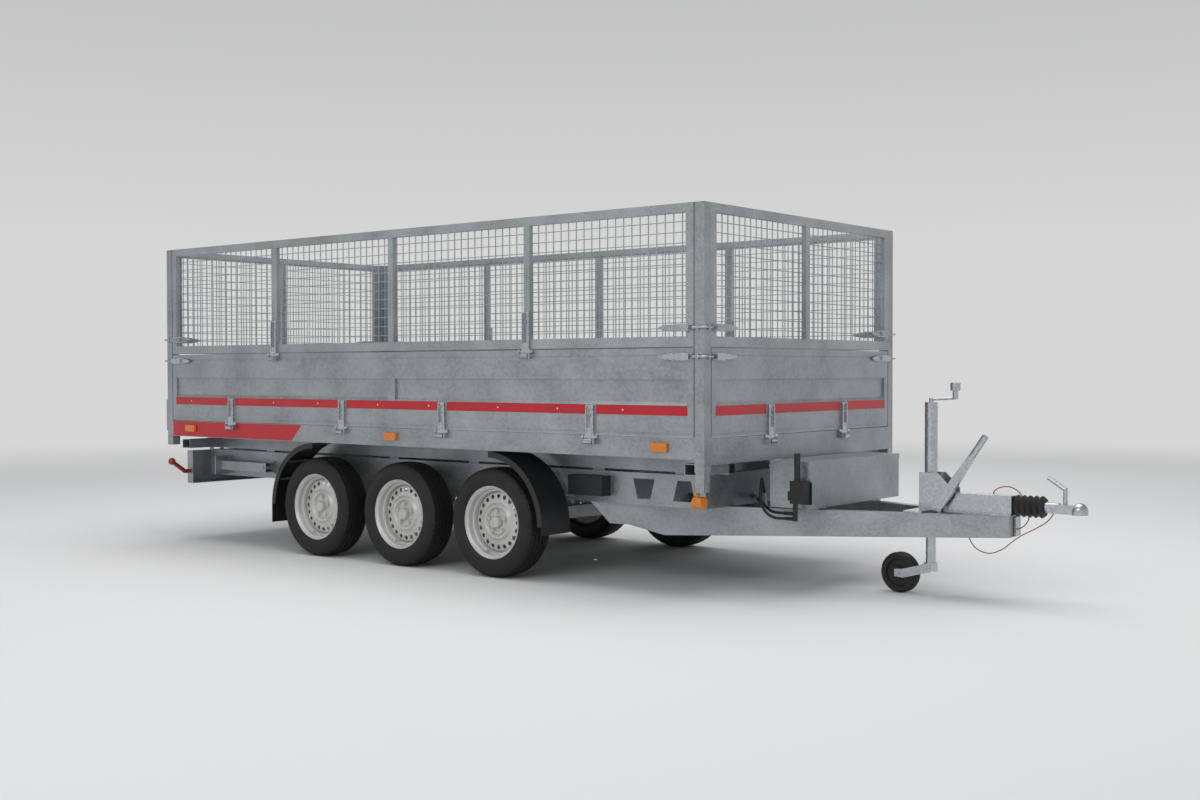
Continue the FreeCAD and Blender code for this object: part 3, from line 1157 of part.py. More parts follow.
def jockey_wheel():
    """The jockey wheel: a solid rubber tyre on a small hub, bored for its pin."""
    half = JOCKEY_WHEEL_WIDTH / 2
    radius = JOCKEY_WHEEL_RADIUS
    profile = [(8 + SPINDLE_CLEARANCE, -half), (30, -half), (34, -half + 10), (64, -half + 10), (68, -half),
               (radius - 12, -half), (radius, -half + 12)]
    profile += [(r, -y) for r, y in reversed(profile)]
    return spun(profile, (JOCKEY_X - JOCKEY_TRAIL, 0, radius))


add("jockey_bracket", jockey_bracket())
outer_tube = tube((JOCKEY_X, 0, JOCKEY_TUBE_BOTTOM), (JOCKEY_X, 0, JOCKEY_TOP),
                  JOCKEY_TUBE_RADIUS, JOCKEY_INNER_RADIUS + TIP_CLEARANCE)
add("jockey_tube", outer_tube, jockey_crank())
inner_tube_foot = JOCKEY_WHEEL_RADIUS + 40 + SEAT_GAP
add("jockey_inner_tube", rod((JOCKEY_X, 0, inner_tube_foot), (JOCKEY_X, 0, JOCKEY_INNER_TOP),
                             JOCKEY_INNER_RADIUS))
add("jockey_fork", jockey_fork())
add("jockey_wheel", jockey_wheel())


# ---------------------------------------------------------------- tool box, pump and hoses
def tool_box():
    """An open sheet-steel box standing on the beams, with two brackets under it."""
    half = BOX_WIDTH / 2
    x1 = BOX_REAR_X + BOX_DEPTH
    shell = box(BOX_REAR_X, x1, -half, half, BOX_BOTTOM, BOX_TOP)
    shell = shell.cut(box(BOX_REAR_X + BOX_WALL, x1 - BOX_WALL, -half + BOX_WALL, half - BOX_WALL,
                          BOX_BOTTOM + BOX_WALL, BOX_TOP))
    feet = [box(BOX_REAR_X + 40, x1 - 40, side * 240, side * 330, RAIL_BOTTOM, BOX_BOTTOM)
            for side in (-1, 1)]
    reach = half - 20
    pin = rod((LID_PIN_X, -reach, LID_PIN_Z), (LID_PIN_X, reach, LID_PIN_Z), LID_PIN_RADIUS)
    webs = [box(LID_PIN_X - 2, BOX_REAR_X, y - 15, y + 15, LID_PIN_Z - 4, LID_PIN_Z + 4)
            for y in (-reach + 15, 0, reach - 15)]
    return fused([shell] + feet + [pin] + webs)


def tool_box_lid():
    """The lid: a flat sheet with a rim outside the box, hung at its rear edge."""
    half = BOX_WIDTH / 2 + SEAT_GAP + LID_WALL
    x0 = BOX_REAR_X + 4
    x1 = BOX_REAR_X + BOX_DEPTH + SEAT_GAP + LID_WALL
    top = BOX_TOP + SEAT_GAP
    sheet = box(LID_PIN_X - 2, x1, -half, half, top, top + LID_WALL)
    rim_shell = box(x0, x1, -half, half, top - LID_HEIGHT, top)
    inner_half = half - LID_WALL
    rim_shell = rim_shell.cut(box(x0, x1 - LID_WALL, -inner_half, inner_half, top - LID_HEIGHT, top))
    knuckles = []
    for side in (-1, 1):
        y0, y1 = side * 40, side * (BOX_WIDTH / 2 - 60)
        knuckles.append(rod((LID_PIN_X, y0, LID_PIN_Z), (LID_PIN_X, y1, LID_PIN_Z), 7))
        knuckles.append(box(LID_PIN_X - 3, LID_PIN_X + 3, y0, y1, LID_PIN_Z, top + 1))
    reach = BOX_WIDTH / 2
    hole = rod((LID_PIN_X, -reach, LID_PIN_Z), (LID_PIN_X, reach, LID_PIN_Z), LID_PIN_RADIUS + PIN_CLEARANCE)
    return fused([sheet, rim_shell] + knuckles).cut(hole)


def hand_pump():
    """The hydraulic hand pump on the box's right end: a bracket, a tank, the lever's tube, a valve,
    and a foot with the ferrules of its two hoses."""
    z = BOX_BOTTOM
    tank_face = PUMP_FACE - PUMP_BACK_THICK
    back = box(PUMP_X - 6, PUMP_X + 84, PUMP_FACE, tank_face, z + 22, z + 130)
    tank = box(PUMP_X, PUMP_X + 78, tank_face, tank_face - 62, z + 28, z + 138)
    lever_tube = rod((PUMP_X + 27, PUMP_Y, z + 138), (PUMP_X + 27, PUMP_Y, z + 270), 15)
    foot_x = PUMP_X + 16
    foot_low = PRESSURE_HOSE[0][2] - HOSE_RADIUS - 3
    foot = rod((foot_x, PUMP_Y, foot_low), (foot_x, PUMP_Y, z + 28), 12)
    ferrules = []
    for points in (PRESSURE_HOSE, RETURN_HOSE):
        x0, y0, z0 = points[0]
        ferrules.append(rod((foot_x, y0, z0), (x0, y0, z0), HOSE_RADIUS + 2))
    valve = box(PUMP_X - 22, PUMP_X, PUMP_Y - 8, PUMP_Y + 12, z + 42, z + 86)
    holes = [recess(points, HOSE_RADIUS) for points in (PRESSURE_HOSE, RETURN_HOSE)]
    return fused([back, tank, lever_tube, foot, valve] + ferrules).cut(holes)


add("tool_box", tool_box())
add("tool_box_lid", tool_box_lid())
add("hand_pump", hand_pump())


add("pressure_hose", cord("pressure hose", PRESSURE_HOSE, HOSE_RADIUS))
add("return_hose", cord("return hose", RETURN_HOSE, HOSE_RADIUS))
add("breakaway_cable", cord("breakaway cable", BREAKAWAY_CABLE, CABLE_RADIUS))
add("lever_cable", cord("lever cable", LEVER_CABLE, CABLE_RADIUS))


# ---------------------------------------------------------------- ram
def ram_parts():
    """The barrel with its pivot pin, then each telescopic stage; the last carries the ball."""
    base = RAM_PIVOT_Z - 28
    parts = []
    outer = RAM_RADIUS
    shell = rod((RAM_X, 0, base), (RAM_X, 0, RAM_TUBE_TOP), outer)
    bore = outer - RAM_WALL
    shell = shell.cut(rod((RAM_X, 0, base + 60), (RAM_X, 0, RAM_TUBE_TOP), bore))
    pin_reach = RAM_SIDE_PLATE_Y + 14
    pin = rod((RAM_X, -pin_reach, RAM_PIVOT_Z), (RAM_X, pin_reach, RAM_PIVOT_Z), TIP_PIN_RADIUS)
    parts.append(fused([shell, pin]))
    bottom = base + 60
    for k in range(RAM_STAGES):
        radius = bore - TIP_CLEARANCE
        bottom += 4
        top = RAM_TUBE_TOP + 3 * (k + 1)
        stage = rod((RAM_X, 0, bottom), (RAM_X, 0, top), radius)
        bore = radius - RAM_STEP
        if k < RAM_STAGES - 1:
            stage = stage.cut(rod((RAM_X, 0, bottom + 4), (RAM_X, 0, top), bore))
        else:
            head = Part.makeSphere(BALL_RADIUS, Vector(RAM_X, 0, RAM_BALL_Z))
            stage = fused([stage, head])
        parts.append(stage)
    return parts


for k, shape in enumerate(ram_parts()):
    add("ram_barrel" if k == 0 else f"ram_stage_{k}", shape)


# ---------------------------------------------------------------- rear legs
def rear_leg(side):
    """A square prop tube with a foot plate, stowed level along the rail behind its pivot."""
    y0 = side * (RAIL_OUTER + LEG_STANDOFF)
    y1 = y0 + side * LEG_TUBE
    low, high = sorted((y0, y1))
    half = LEG_TUBE / 2
    end = LEG_PIVOT_X - LEG_LENGTH
    tube_body = box_tube(end, LEG_PIVOT_X + half, low, high, LEG_Z - half, LEG_Z + half, 4, "x")
    boss = rod((LEG_PIVOT_X, low, LEG_Z), (LEG_PIVOT_X, high, LEG_Z), 20)
    hole = rod((LEG_PIVOT_X, low, LEG_Z), (LEG_PIVOT_X, high, LEG_Z), 12 + PIN_CLEARANCE)
    foot = box(end - 8, end, y0 - side * (LEG_STANDOFF - 7), y0 + side * (LEG_TUBE + 35),
               LEG_Z - 60, LEG_Z + 60)
    return fused([tube_body, boss, foot]).cut(hole)


for word, side in SIDES:
    add(f"{word}_rear_leg", rear_leg(side))


def chock_box(side):
    """The black chock holder on the rail ahead of the front wheel."""
    y0 = side * (RAIL_OUTER + SEAT_GAP)
    x0 = AXLE_XS[2] + MUDGUARD_RADIUS + CHOCK_BOX_GAP
    return box(x0, x0 + CHOCK_BOX_LENGTH, y0, y0 + side * 70, RAIL_BOTTOM + 37, RAIL_BOTTOM + 141)


add("chock_boxes", chock_box(-1), chock_box(1))


# ---------------------------------------------------------------- shift to the origin and write
def write_all():
    """Moves the origin under the middle of the whole box and writes one STEP file per node."""
    boxes = [solid.BoundBox for solids in PIECES.values() for solid in solids]
    middle = (min(b.XMin for b in boxes) + max(b.XMax for b in boxes)) / 2
    for name, solids in PIECES.items():
        whole = solids[0] if len(solids) == 1 else Part.makeCompound(solids)
        whole.translate(Vector(-middle, 0, 0))
        whole.exportStep(os.path.join(OUT, name + ".step"))
    return middle


ORIGIN_X = write_all()
print(f"{len(PIECES)} nodes; the origin is {ORIGIN_X:.1f} mm ahead of the middle of the bed")
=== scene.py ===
"""The looks of a three-axle tipper trailer: galvanised bed and chassis, mesh sides, six wheels,
an overrun coupling with its cables, a jockey wheel, and a tool box with a hydraulic hand pump.

Metres. X points forward to the coupling, Y to the left, Z up, and the floor is z = 0.
"""

import math

import bpy
import numpy as np
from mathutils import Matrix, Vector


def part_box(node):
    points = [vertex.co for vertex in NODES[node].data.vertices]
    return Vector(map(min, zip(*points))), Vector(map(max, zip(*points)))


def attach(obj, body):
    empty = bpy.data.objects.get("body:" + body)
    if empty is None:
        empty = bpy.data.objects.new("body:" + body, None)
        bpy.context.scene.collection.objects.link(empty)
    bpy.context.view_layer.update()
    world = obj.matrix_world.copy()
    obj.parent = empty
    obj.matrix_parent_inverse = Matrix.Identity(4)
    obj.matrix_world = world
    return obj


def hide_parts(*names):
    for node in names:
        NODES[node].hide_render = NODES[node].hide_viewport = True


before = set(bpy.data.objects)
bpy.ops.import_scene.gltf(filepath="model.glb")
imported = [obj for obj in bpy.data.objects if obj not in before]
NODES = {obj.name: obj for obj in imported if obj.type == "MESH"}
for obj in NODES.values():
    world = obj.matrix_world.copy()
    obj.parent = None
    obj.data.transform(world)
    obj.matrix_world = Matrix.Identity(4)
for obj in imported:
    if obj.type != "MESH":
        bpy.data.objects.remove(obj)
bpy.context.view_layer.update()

# ---------------------------------------------------------------- camera
CAMERA_PLACE = (5.1847, -6.387, 1.101)
CAMERA_YAW = math.radians(38.87)
CAMERA_PITCH = math.radians(-1.21)
CAMERA_ROLL = math.radians(0.1)
CAMERA_LENS = 42.6


def add_camera():
    """The camera looks along its yaw, turned left from +Y, and its pitch above the horizon."""
    data = bpy.data.cameras.new("camera")
    data.lens = CAMERA_LENS
    data.sensor_width = 36.0
    camera = bpy.data.objects.new("camera", data)
    camera.rotation_mode = "XYZ"
    camera.rotation_euler = (math.pi / 2 + CAMERA_PITCH, CAMERA_ROLL, CAMERA_YAW)
    camera.location = CAMERA_PLACE
    bpy.context.scene.collection.objects.link(camera)
    bpy.context.scene.camera = camera


# ---------------------------------------------------------------- materials
def linear(hex_colour):
    """An sRGB hex colour such as '#A9AEB1' as linear red, green, blue and alpha."""
    parts = [int(hex_colour[k:k + 2], 16) / 255 for k in (1, 3, 5)]
    return (*[p / 12.92 if p <= 0.04045 else ((p + 0.055) / 1.055) ** 2.4 for p in parts], 1.0)


def add_node(tree, kind, inputs=(), **settings):
    """One node: its settings, then its inputs, each a value or another node's output."""
    made = tree.nodes.new(kind)
    for name, value in settings.items():
        setattr(made, name, value)
    for name, value in dict(inputs).items():
        if isinstance(value, bpy.types.NodeSocket):
            tree.links.new(value, made.inputs[name])
        else:
            made.inputs[name].default_value = value
    return made


def new_material(name):
    """An empty node material with its shader and its output, and object coordinates."""
    material = bpy.data.materials.new(name)
    material.use_nodes = True
    tree = material.node_tree
    tree.nodes.clear()
    shader = add_node(tree, "ShaderNodeBsdfPrincipled")
    output = add_node(tree, "ShaderNodeOutputMaterial", {"Surface": shader.outputs["BSDF"]})
    place = add_node(tree, "ShaderNodeTexCoord").outputs["Object"]
    return material, tree, shader, place


def ramp(tree, factor, stops):
    """A colour ramp: stops are (position, hex colour)."""
    made = add_node(tree, "ShaderNodeValToRGB", {"Fac": factor})
    elements = made.color_ramp.elements
    while len(elements) < len(stops):
        elements.new(0.5)
    for element, (position, colour) in zip(elements, stops):
        element.position = position
        element.color = linear(colour)
    return made.outputs["Color"]


def spread(tree, factor, low, high):
    """A value from 0 to 1 stretched to run from low to high."""
    made = add_node(tree, "ShaderNodeMapRange", {"Value": factor, "To Min": low, "To Max": high})
    return made.outputs["Result"]


def noise(tree, place, size_mm, detail=3.0):
    """Fractal noise whose lumps are about size_mm across."""
    made = add_node(tree, "ShaderNodeTexNoise", {"Vector": place, "Scale": 1000 / size_mm, "Detail": detail})
    return made.outputs["Fac"]


def bump(tree, shader, height, depth_mm, strength=1.0):
    """Relief of depth_mm from a height that runs from 0 to 1."""
    made = add_node(tree, "ShaderNodeBump",
                    {"Height": height, "Distance": depth_mm / 1000, "Strength": strength})
    tree.links.new(made.outputs["Normal"], shader.inputs["Normal"])


def galvanised_steel(name, dark, middle, light, spangle_mm=16, rough=(0.36, 0.56)):
    """Hot-dip galvanised sheet: zinc crystals give a soft grey mosaic, each with its own sheen, and
    slow cloudy streaks run over it."""
    material, tree, shader, place = new_material(name)
    flakes = add_node(tree, "ShaderNodeTexVoronoi", {"Vector": place, "Scale": 1000 / spangle_mm})
    grey = add_node(tree, "ShaderNodeSeparateColor", {"Color": flakes.outputs["Color"]}).outputs["Red"]
    clouds = noise(tree, place, 220, 4.0)
    both = add_node(tree, "ShaderNodeMath", {0: grey, 1: 0.28}, operation="MULTIPLY").outputs[0]
    mixed = {0: clouds, 1: 0.86, 2: both}
    both = add_node(tree, "ShaderNodeMath", mixed, operation="MULTIPLY_ADD").outputs[0]
    colour = ramp(tree, both, [(0.25, dark), (0.55, middle), (0.85, light)])
    tree.links.new(colour, shader.inputs["Base Color"])
    tree.links.new(spread(tree, grey, *rough), shader.inputs["Roughness"])
    shader.inputs["Metallic"].default_value = 0.85
    bump(tree, shader, clouds, 0.6, 0.25)
    return material


def plated_steel(name, dark, light, rough=(0.18, 0.34)):
    """Bright zinc-plated pressings: a bluish silver with faint handling marks."""
    material, tree, shader, place = new_material(name)
    marks = noise(tree, place, 18, 5.0)
    tree.links.new(ramp(tree, marks, [(0.3, dark), (0.7, light)]), shader.inputs["Base Color"])
    tree.links.new(spread(tree, marks, *rough), shader.inputs["Roughness"])
    shader.inputs["Metallic"].default_value = 1.0
    bump(tree, shader, marks, 0.15, 0.2)
    return material


def moulded(name, dark, light, rough=(0.45, 0.6), grain_mm=2.5, depth_mm=0.12):
    """Moulded rubber or plastic: nearly one colour, with a fine grain that breaks up its sheen."""
    material, tree, shader, place = new_material(name)
    grain = noise(tree, place, grain_mm, 2.0)
    slow = noise(tree, place, 90, 3.0)
    tree.links.new(ramp(tree, slow, [(0.3, dark), (0.7, light)]), shader.inputs["Base Color"])
    tree.links.new(spread(tree, grain, *rough), shader.inputs["Roughness"])
    bump(tree, shader, grain, depth_mm, 0.6)
    return material


def painted(name, dark, light, metallic=0.0, rough=(0.25, 0.38), coat=0.0):
    """Paint or film on steel: an even colour with a slight orange-peel."""
    material, tree, shader, place = new_material(name)
    peel = noise(tree, place, 9, 2.0)
    slow = noise(tree, place, 160, 3.0)
    tree.links.new(ramp(tree, slow, [(0.3, dark), (0.7, light)]), shader.inputs["Base Color"])
    tree.links.new(spread(tree, slow, *rough), shader.inputs["Roughness"])
    shader.inputs["Metallic"].default_value = metallic
    shader.inputs["Coat Weight"].default_value = coat
    bump(tree, shader, peel, 0.05, 0.3)
    return material


def lens(name, dark, light):
    """A moulded lamp lens: clear coloured plastic over fine prisms. Its colour is painted lighter in each
    prism's middle and darker at the prism's edges, a painted glint and painted shade of the prisms; the
    plastic's own colour is even.
    """
    material, tree, shader, place = new_material(name)
    prisms = add_node(tree, "ShaderNodeTexVoronoi", {"Vector": place, "Scale": 1000 / 5}).outputs["Distance"]
    # painted glint and shade: the colour is lighter in the middle of each prism and darker where prisms meet
    tree.links.new(ramp(tree, prisms, [(0.1, light), (0.7, dark)]), shader.inputs["Base Color"])
    shader.inputs["Roughness"].default_value = 0.14
    shader.inputs["Coat Weight"].default_value = 0.6
    bump(tree, shader, prisms, 0.5, 0.3)
    return material


BOARD_ZINC = galvanised_steel("galvanised_sheet", "#8E9497", "#A3A8AB", "#B4B9BB")
FRAME_ZINC = galvanised_steel("galvanised_section", "#888E91", "#A0A5A8", "#B2B7B9", spangle_mm=10)
WIRE_ZINC = galvanised_steel("galvanised_wire", "#8E9396", "#A6ABAD", "#BABFC1", spangle_mm=6)
BRIGHT_ZINC = plated_steel("bright_zinc_plate", "#AEB4BA", "#C6CACE")
GROUND_STEEL = plated_steel("ground_ram_steel", "#B5B8BA", "#C9CBCC", rough=(0.06, 0.12))
RIM_SILVER = painted("silver_wheel_paint", "#C2C1BF", "#CFCECB", metallic=0.35, rough=(0.34, 0.44), coat=0.3)
TYRE_RUBBER = moulded("tyre_rubber", "#101011", "#18181A", rough=(0.55, 0.72), grain_mm=1.5)
BLACK_PLASTIC = moulded("grained_black_plastic", "#17181A", "#202124", rough=(0.38, 0.55))
BLACK_RUBBER = moulded("black_rubber", "#151515", "#1D1D1D", rough=(0.5, 0.68))
BLACK_PAINT = painted("black_paint", "#141517", "#1C1D1F", rough=(0.3, 0.42))
RED_FILM = painted("red_film", "#AE0B1E", "#B90F22", rough=(0.26, 0.34), coat=0.15)
RED_SHEATH = painted("red_cable_sheath", "#8C1620", "#9C1A25", rough=(0.35, 0.45))
WHITE_PLASTIC = painted("white_label", "#D9DADA", "#E4E4E3", rough=(0.35, 0.45))
RED_LENS = lens("red_lens", "#7A0A0C", "#B01416")
AMBER_LENS = lens("amber_lens", "#C46A08", "#E88A14")

NODE_MATERIALS = {
    "bed_skirts": FRAME_ZINC, "bed_beams": FRAME_ZINC, "crossbars": FRAME_ZINC,
    "floor_plate": BOARD_ZINC, "corner_posts": FRAME_ZINC, "marker_lamps": AMBER_LENS,
    "end_meshes": WIRE_ZINC, "right_board": BOARD_ZINC, "left_board": BOARD_ZINC,
    "front_board": BOARD_ZINC, "tailgate": BOARD_ZINC, "right_board_fittings": BRIGHT_ZINC,
    "left_board_fittings": BRIGHT_ZINC, "front_board_fittings": BRIGHT_ZINC,
    "tailgate_fittings": BRIGHT_ZINC, "right_mesh": WIRE_ZINC, "left_mesh": WIRE_ZINC,
    "chassis_rails": FRAME_ZINC, "crossmembers": FRAME_ZINC, "drawbar_beams": FRAME_ZINC,
    "axles": FRAME_ZINC, "mudguards": BLACK_PLASTIC, "rear_lamps": RED_LENS,
    "overrun_housing": BRIGHT_ZINC, "brake_rod": BRIGHT_ZINC, "coupling_head": BRIGHT_ZINC,
    "drawtube_bellows": BLACK_RUBBER, "jockey_bracket": BRIGHT_ZINC, "jockey_tube": BRIGHT_ZINC,
    "jockey_inner_tube": BRIGHT_ZINC, "jockey_fork": BRIGHT_ZINC, "jockey_wheel": BLACK_RUBBER,
    "tool_box": BOARD_ZINC, "tool_box_lid": BOARD_ZINC, "hand_pump": BLACK_PAINT,
    "chock_boxes": BLACK_PLASTIC, "handbrake_lever": BRIGHT_ZINC, "ram_barrel": GROUND_STEEL,
    "ram_stage_1": GROUND_STEEL, "ram_stage_2": GROUND_STEEL, "ram_stage_3": GROUND_STEEL,
    "ram_stage_4": GROUND_STEEL, "right_rear_leg": FRAME_ZINC, "left_rear_leg": FRAME_ZINC,
}


def finish_cad_nodes():
    """Every carried-over CAD node gets the material of its real finish."""
    for name, item in NODES.items():
        material = NODE_MATERIALS.get(name)
        if material is None:
            material = TYRE_RUBBER if name.endswith("_tyre") else RIM_SILVER
        item.data.materials.clear()
        item.data.materials.append(material)


# ---------------------------------------------------------------- cords
PRESSURE_HOSE = [(2300, -499, 383), (2252, -503, 380), (2206, -504, 392), (2168, -497, 423),
                 (2141, -478, 465), (2122, -448, 510), (2100, -404, 544), (2070, -352, 558),
                 (2040, -300, 548), (2016, -254, 518), (1998, -218, 478)]
RETURN_HOSE = [(2290, -499, 408), (2242, -493, 407), (2196, -472, 411), (2155, -440, 421),
               (2115, -401, 431), (2074, -358, 438), (2033, -315, 442), (1993, -274, 446)]
BREAKAWAY_CABLE = [(3026, -42, 414.7), (3022, -42, 384), (3022, -42, 350), (3028, -41, 315),
                   (3039, -39, 282), (3060, -36, 254), (3092, -33, 237), (3134, -31, 231),
                   (3178, -29, 247), (3212, -28, 270), (3246, -27, 301), (3292, -26, 333),
                   (3342, -25, 358), (3388, -24, 386), (3421, -22, 413), (3434, -22, 439)]
LEVER_CABLE = [(3102, 60, 490), (3107, 60, 512), (3126, 60, 532), (3154, 60, 543), (3186, 60, 546),
               (3217, 61, 536), (3243, 63, 514), (3262, 64, 484), (3276, 63, 452), (3288, 56, 421),
               (3292, 40, 396), (3286, 22, 376), (3274, 9, 361), (3251.3, 2, 352)]
BED_MIDDLE_X = -709.85


def cord(name, route_mm, diameter, material):
    """A hose or cable: one smooth curve whose control points are the route's own points, which are
    millimetres from the bed's middle."""
    curve = bpy.data.curves.new(name, "CURVE")
    curve.dimensions = "3D"
    curve.bevel_depth = diameter / 2
    curve.bevel_resolution = 5
    curve.resolution_u = 10
    curve.use_fill_caps = True
    spline = curve.splines.new("NURBS")
    spline.points.add(len(route_mm) - 1)
    for point, (x, y, z) in zip(spline.points, route_mm):
        point.co = ((x + BED_MIDDLE_X) / 1000, y / 1000, z / 1000, 1.0)
    spline.order_u = 3
    spline.use_endpoint_u = True
    curve.materials.append(material)
    piece = bpy.data.objects.new(name, curve)
    bpy.context.scene.collection.objects.link(piece)
    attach(piece, "chassis")
    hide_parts(name.replace("_cord", ""))
    return piece


def add_cords():
    cord("pressure_hose_cord", PRESSURE_HOSE, 0.014, BLACK_RUBBER)
    cord("return_hose_cord", RETURN_HOSE, 0.014, BLACK_RUBBER)
    cord("breakaway_cable_cord", BREAKAWAY_CABLE, 0.005, RED_SHEATH)
    cord("lever_cable_cord", LEVER_CABLE, 0.005, RED_SHEATH)


# ---------------------------------------------------------------- stage
STUDIO_FLOOR = "#D9D9D9"
STUDIO_HORIZON = "#D6D6D6"
STUDIO_TOP = "#A4A5A6"


def add_stage():
    """A wide round floor that fades into the surroundings, so no edge shows from any side."""
    material, tree, shader, place = new_material("studio_floor")
    tree.nodes.remove(shader)
    matt = add_node(tree, "ShaderNodeBsdfDiffuse", {"Color": linear(STUDIO_FLOOR)})
    glow = add_node(tree, "ShaderNodeEmission", {"Color": linear(STUDIO_HORIZON), "Strength": 1.0})
    away = add_node(tree, "ShaderNodeVectorMath", {0: place}, operation="LENGTH").outputs["Value"]
    fade = add_node(tree, "ShaderNodeMapRange", {"Value": away, "From Min": 5.0, "From Max": 16.0},
                    interpolation_type="SMOOTHSTEP").outputs["Result"]
    mixed = add_node(tree, "ShaderNodeMixShader",
                     {0: fade, 1: matt.outputs["BSDF"], 2: glow.outputs["Emission"]})
    output = next(n for n in tree.nodes if n.type == "OUTPUT_MATERIAL")
    tree.links.new(mixed.outputs["Shader"], output.inputs["Surface"])
    turns = np.linspace(0, 2 * math.pi, 96, endpoint=False)
    rings = [np.column_stack([r * np.cos(turns), r * np.sin(turns), 0 * turns]) for r in (0.01, 6, 20, 60)]
    floor = mesh_piece("studio_floor", [surface(np.array(rings)[:, ::-1], close_v=True)], material)


def add_world():
    """Plain light from all round for the object; the camera, reflections and glass see the studio's
    grey, pale at the horizon and darker overhead."""
    world = bpy.data.worlds.new("studio")
    bpy.context.scene.world = world
    world.use_nodes = True
    tree = world.node_tree
    tree.nodes.clear()
    direction = add_node(tree, "ShaderNodeTexCoord").outputs["Generated"]
    height = add_node(tree, "ShaderNodeSeparateXYZ", {"Vector": direction}).outputs["Z"]
    seen = ramp(tree, height, [(0.0, STUDIO_HORIZON), (0.08, STUDIO_HORIZON), (0.5, STUDIO_TOP)])
    paths = add_node(tree, "ShaderNodeLightPath")
    rays = {0: paths.outputs["Is Camera Ray"], 1: paths.outputs["Is Glossy Ray"]}
    shown = add_node(tree, "ShaderNodeMath", rays,
                     operation="MAXIMUM").outputs[0]
    shown = add_node(tree, "ShaderNodeMath", {0: shown, 1: paths.outputs["Is Transmission Ray"]},
                     operation="MAXIMUM").outputs[0]
    light = add_node(tree, "ShaderNodeBackground", {"Color": linear("#F4F6F8"), "Strength": 0.62})
    backdrop = add_node(tree, "ShaderNodeBackground", {"Color": seen, "Strength": 1.0})
    mixed = add_node(tree, "ShaderNodeMixShader",
                     {0: shown, 1: light.outputs["Background"], 2: backdrop.outputs["Background"]})
    add_node(tree, "ShaderNodeOutputWorld", {"Surface": mixed.outputs["Shader"]})


def add_lamp(name, place, target, size, power):
    """A square softbox that looks at its target."""
    data = bpy.data.lights.new(name, "AREA")
    data.shape = "RECTANGLE"
    data.size, data.size_y = size
    data.energy = power
    lamp = bpy.data.objects.new(name, data)
    lamp.location = place
    back = np.array(place) - np.array(target)
    lamp.rotation_euler = (math.atan2(math.hypot(back[0], back[1]), back[2]),
                           0, math.atan2(back[0], -back[1]))
    bpy.context.scene.collection.objects.link(lamp)


def add_lights():
    add_lamp("softbox_above", (0, 0, 6.5), (0, 0, 0), (9.0, 6.0), 330)
    add_lamp("softbox_right", (2.0, -8.0, 4.5), (0, 0, 0.8), (6.0, 3.5), 130)
    add_lamp("softbox_left", (-2.5, 8.0, 4.5), (0, 0, 0.8), (6.0, 3.5), 70)


# ---------------------------------------------------------------- surfaces
def surface(points, close_u=False, close_v=False):
    """A grid of points, (rows, columns, 3), as corners and four-sided faces."""
    rows, columns, _ = points.shape
    number = np.arange(rows * columns).reshape(rows, columns)
    u = np.arange(rows if close_u else rows - 1)
    v = np.arange(columns if close_v else columns - 1)
    u, v = np.meshgrid(u, v, indexing="ij")
    next_u, next_v = (u + 1) % rows, (v + 1) % columns
    faces = np.stack([number[u, v], number[next_u, v], number[next_u, next_v], number[u, next_v]], -1)
    return points.reshape(-1, 3), faces.reshape(-1, 4).tolist()


def mesh_piece(name, parts, material, body=None, smooth=True):
    """One piece from surfaces: their corners and faces are joined."""
    corners = np.concatenate([np.asarray(c, float).reshape(-1, 3) for c, _ in parts])
    faces, first = [], 0
    for c, f in parts:
        faces += [[k + first for k in face] for face in f]
        first += len(np.asarray(c).reshape(-1, 3))
    mesh = bpy.data.meshes.new(name)
    mesh.from_pydata(corners.tolist(), [], faces)
    mesh.materials.append(material)
    mesh.polygons.foreach_set("use_smooth", [smooth] * len(mesh.polygons))
    if smooth:
        mesh.set_sharp_from_angle(angle=math.radians(38))
    piece = bpy.data.objects.new(name, mesh)
    bpy.context.scene.collection.objects.link(piece)
    if body:
        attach(piece, body)
    return piece


# ---------------------------------------------------------------- shapes
def across(direction):
    """Two unit vectors square to a direction and to each other."""
    d = np.asarray(direction, float) / np.linalg.norm(direction)
    helper = np.array([0, 0, 1.0]) if abs(d[2]) < 0.9 else np.array([1.0, 0, 0])
    first = np.cross(helper, d)
    first /= np.linalg.norm(first)
    return d, first, np.cross(d, first)


def outward(corners, faces):
    """The same closed shape with its faces pointing outwards, judged by the sign of its volume."""
    c = np.asarray(corners, float).reshape(-1, 3)
    c = c - c.mean(axis=0)
    fans = np.array([(f[0], f[k], f[k + 1]) for f in faces for k in range(1, len(f) - 1)])
    volume = np.sum(c[fans[:, 0]] * np.cross(c[fans[:, 1]], c[fans[:, 2]]))
    return corners, faces if volume > 0 else [f[::-1] for f in faces]


def lathe(profile, place, direction, steps=32):
    """A profile of (radius, distance along the direction), turned round the direction."""
    d, first, second = across(direction)
    rows = np.asarray(profile, float)
    angles = np.arange(steps) * 2 * math.pi / steps
    ring = np.cos(angles)[:, None] * first + np.sin(angles)[:, None] * second
    points = np.asarray(place, float) + rows[:, 0, None, None] * ring[None] + rows[:, 1, None, None] * d
    corners, faces = surface(points, close_v=True)
    last = (len(rows) - 1) * steps
    if rows[0, 0] > 1e-6:
        faces.append(list(range(steps)))
    if rows[-1, 0] > 1e-6:
        faces.append([last + k for k in reversed(range(steps))])
    return outward(corners, faces)


def ring_of(profile, place, direction, steps=32):
    """A closed profile of (radius, distance along), turned round: a ring with a hole."""
    d, first, second = across(direction)
    rows = np.asarray(profile, float)
    angles = np.arange(steps) * 2 * math.pi / steps
    ring = np.cos(angles)[:, None] * first + np.sin(angles)[:, None] * second
    points = np.asarray(place, float) + rows[:, 0, None, None] * ring[None] + rows[:, 1, None, None] * d
    return outward(*surface(points, close_u=True, close_v=True))


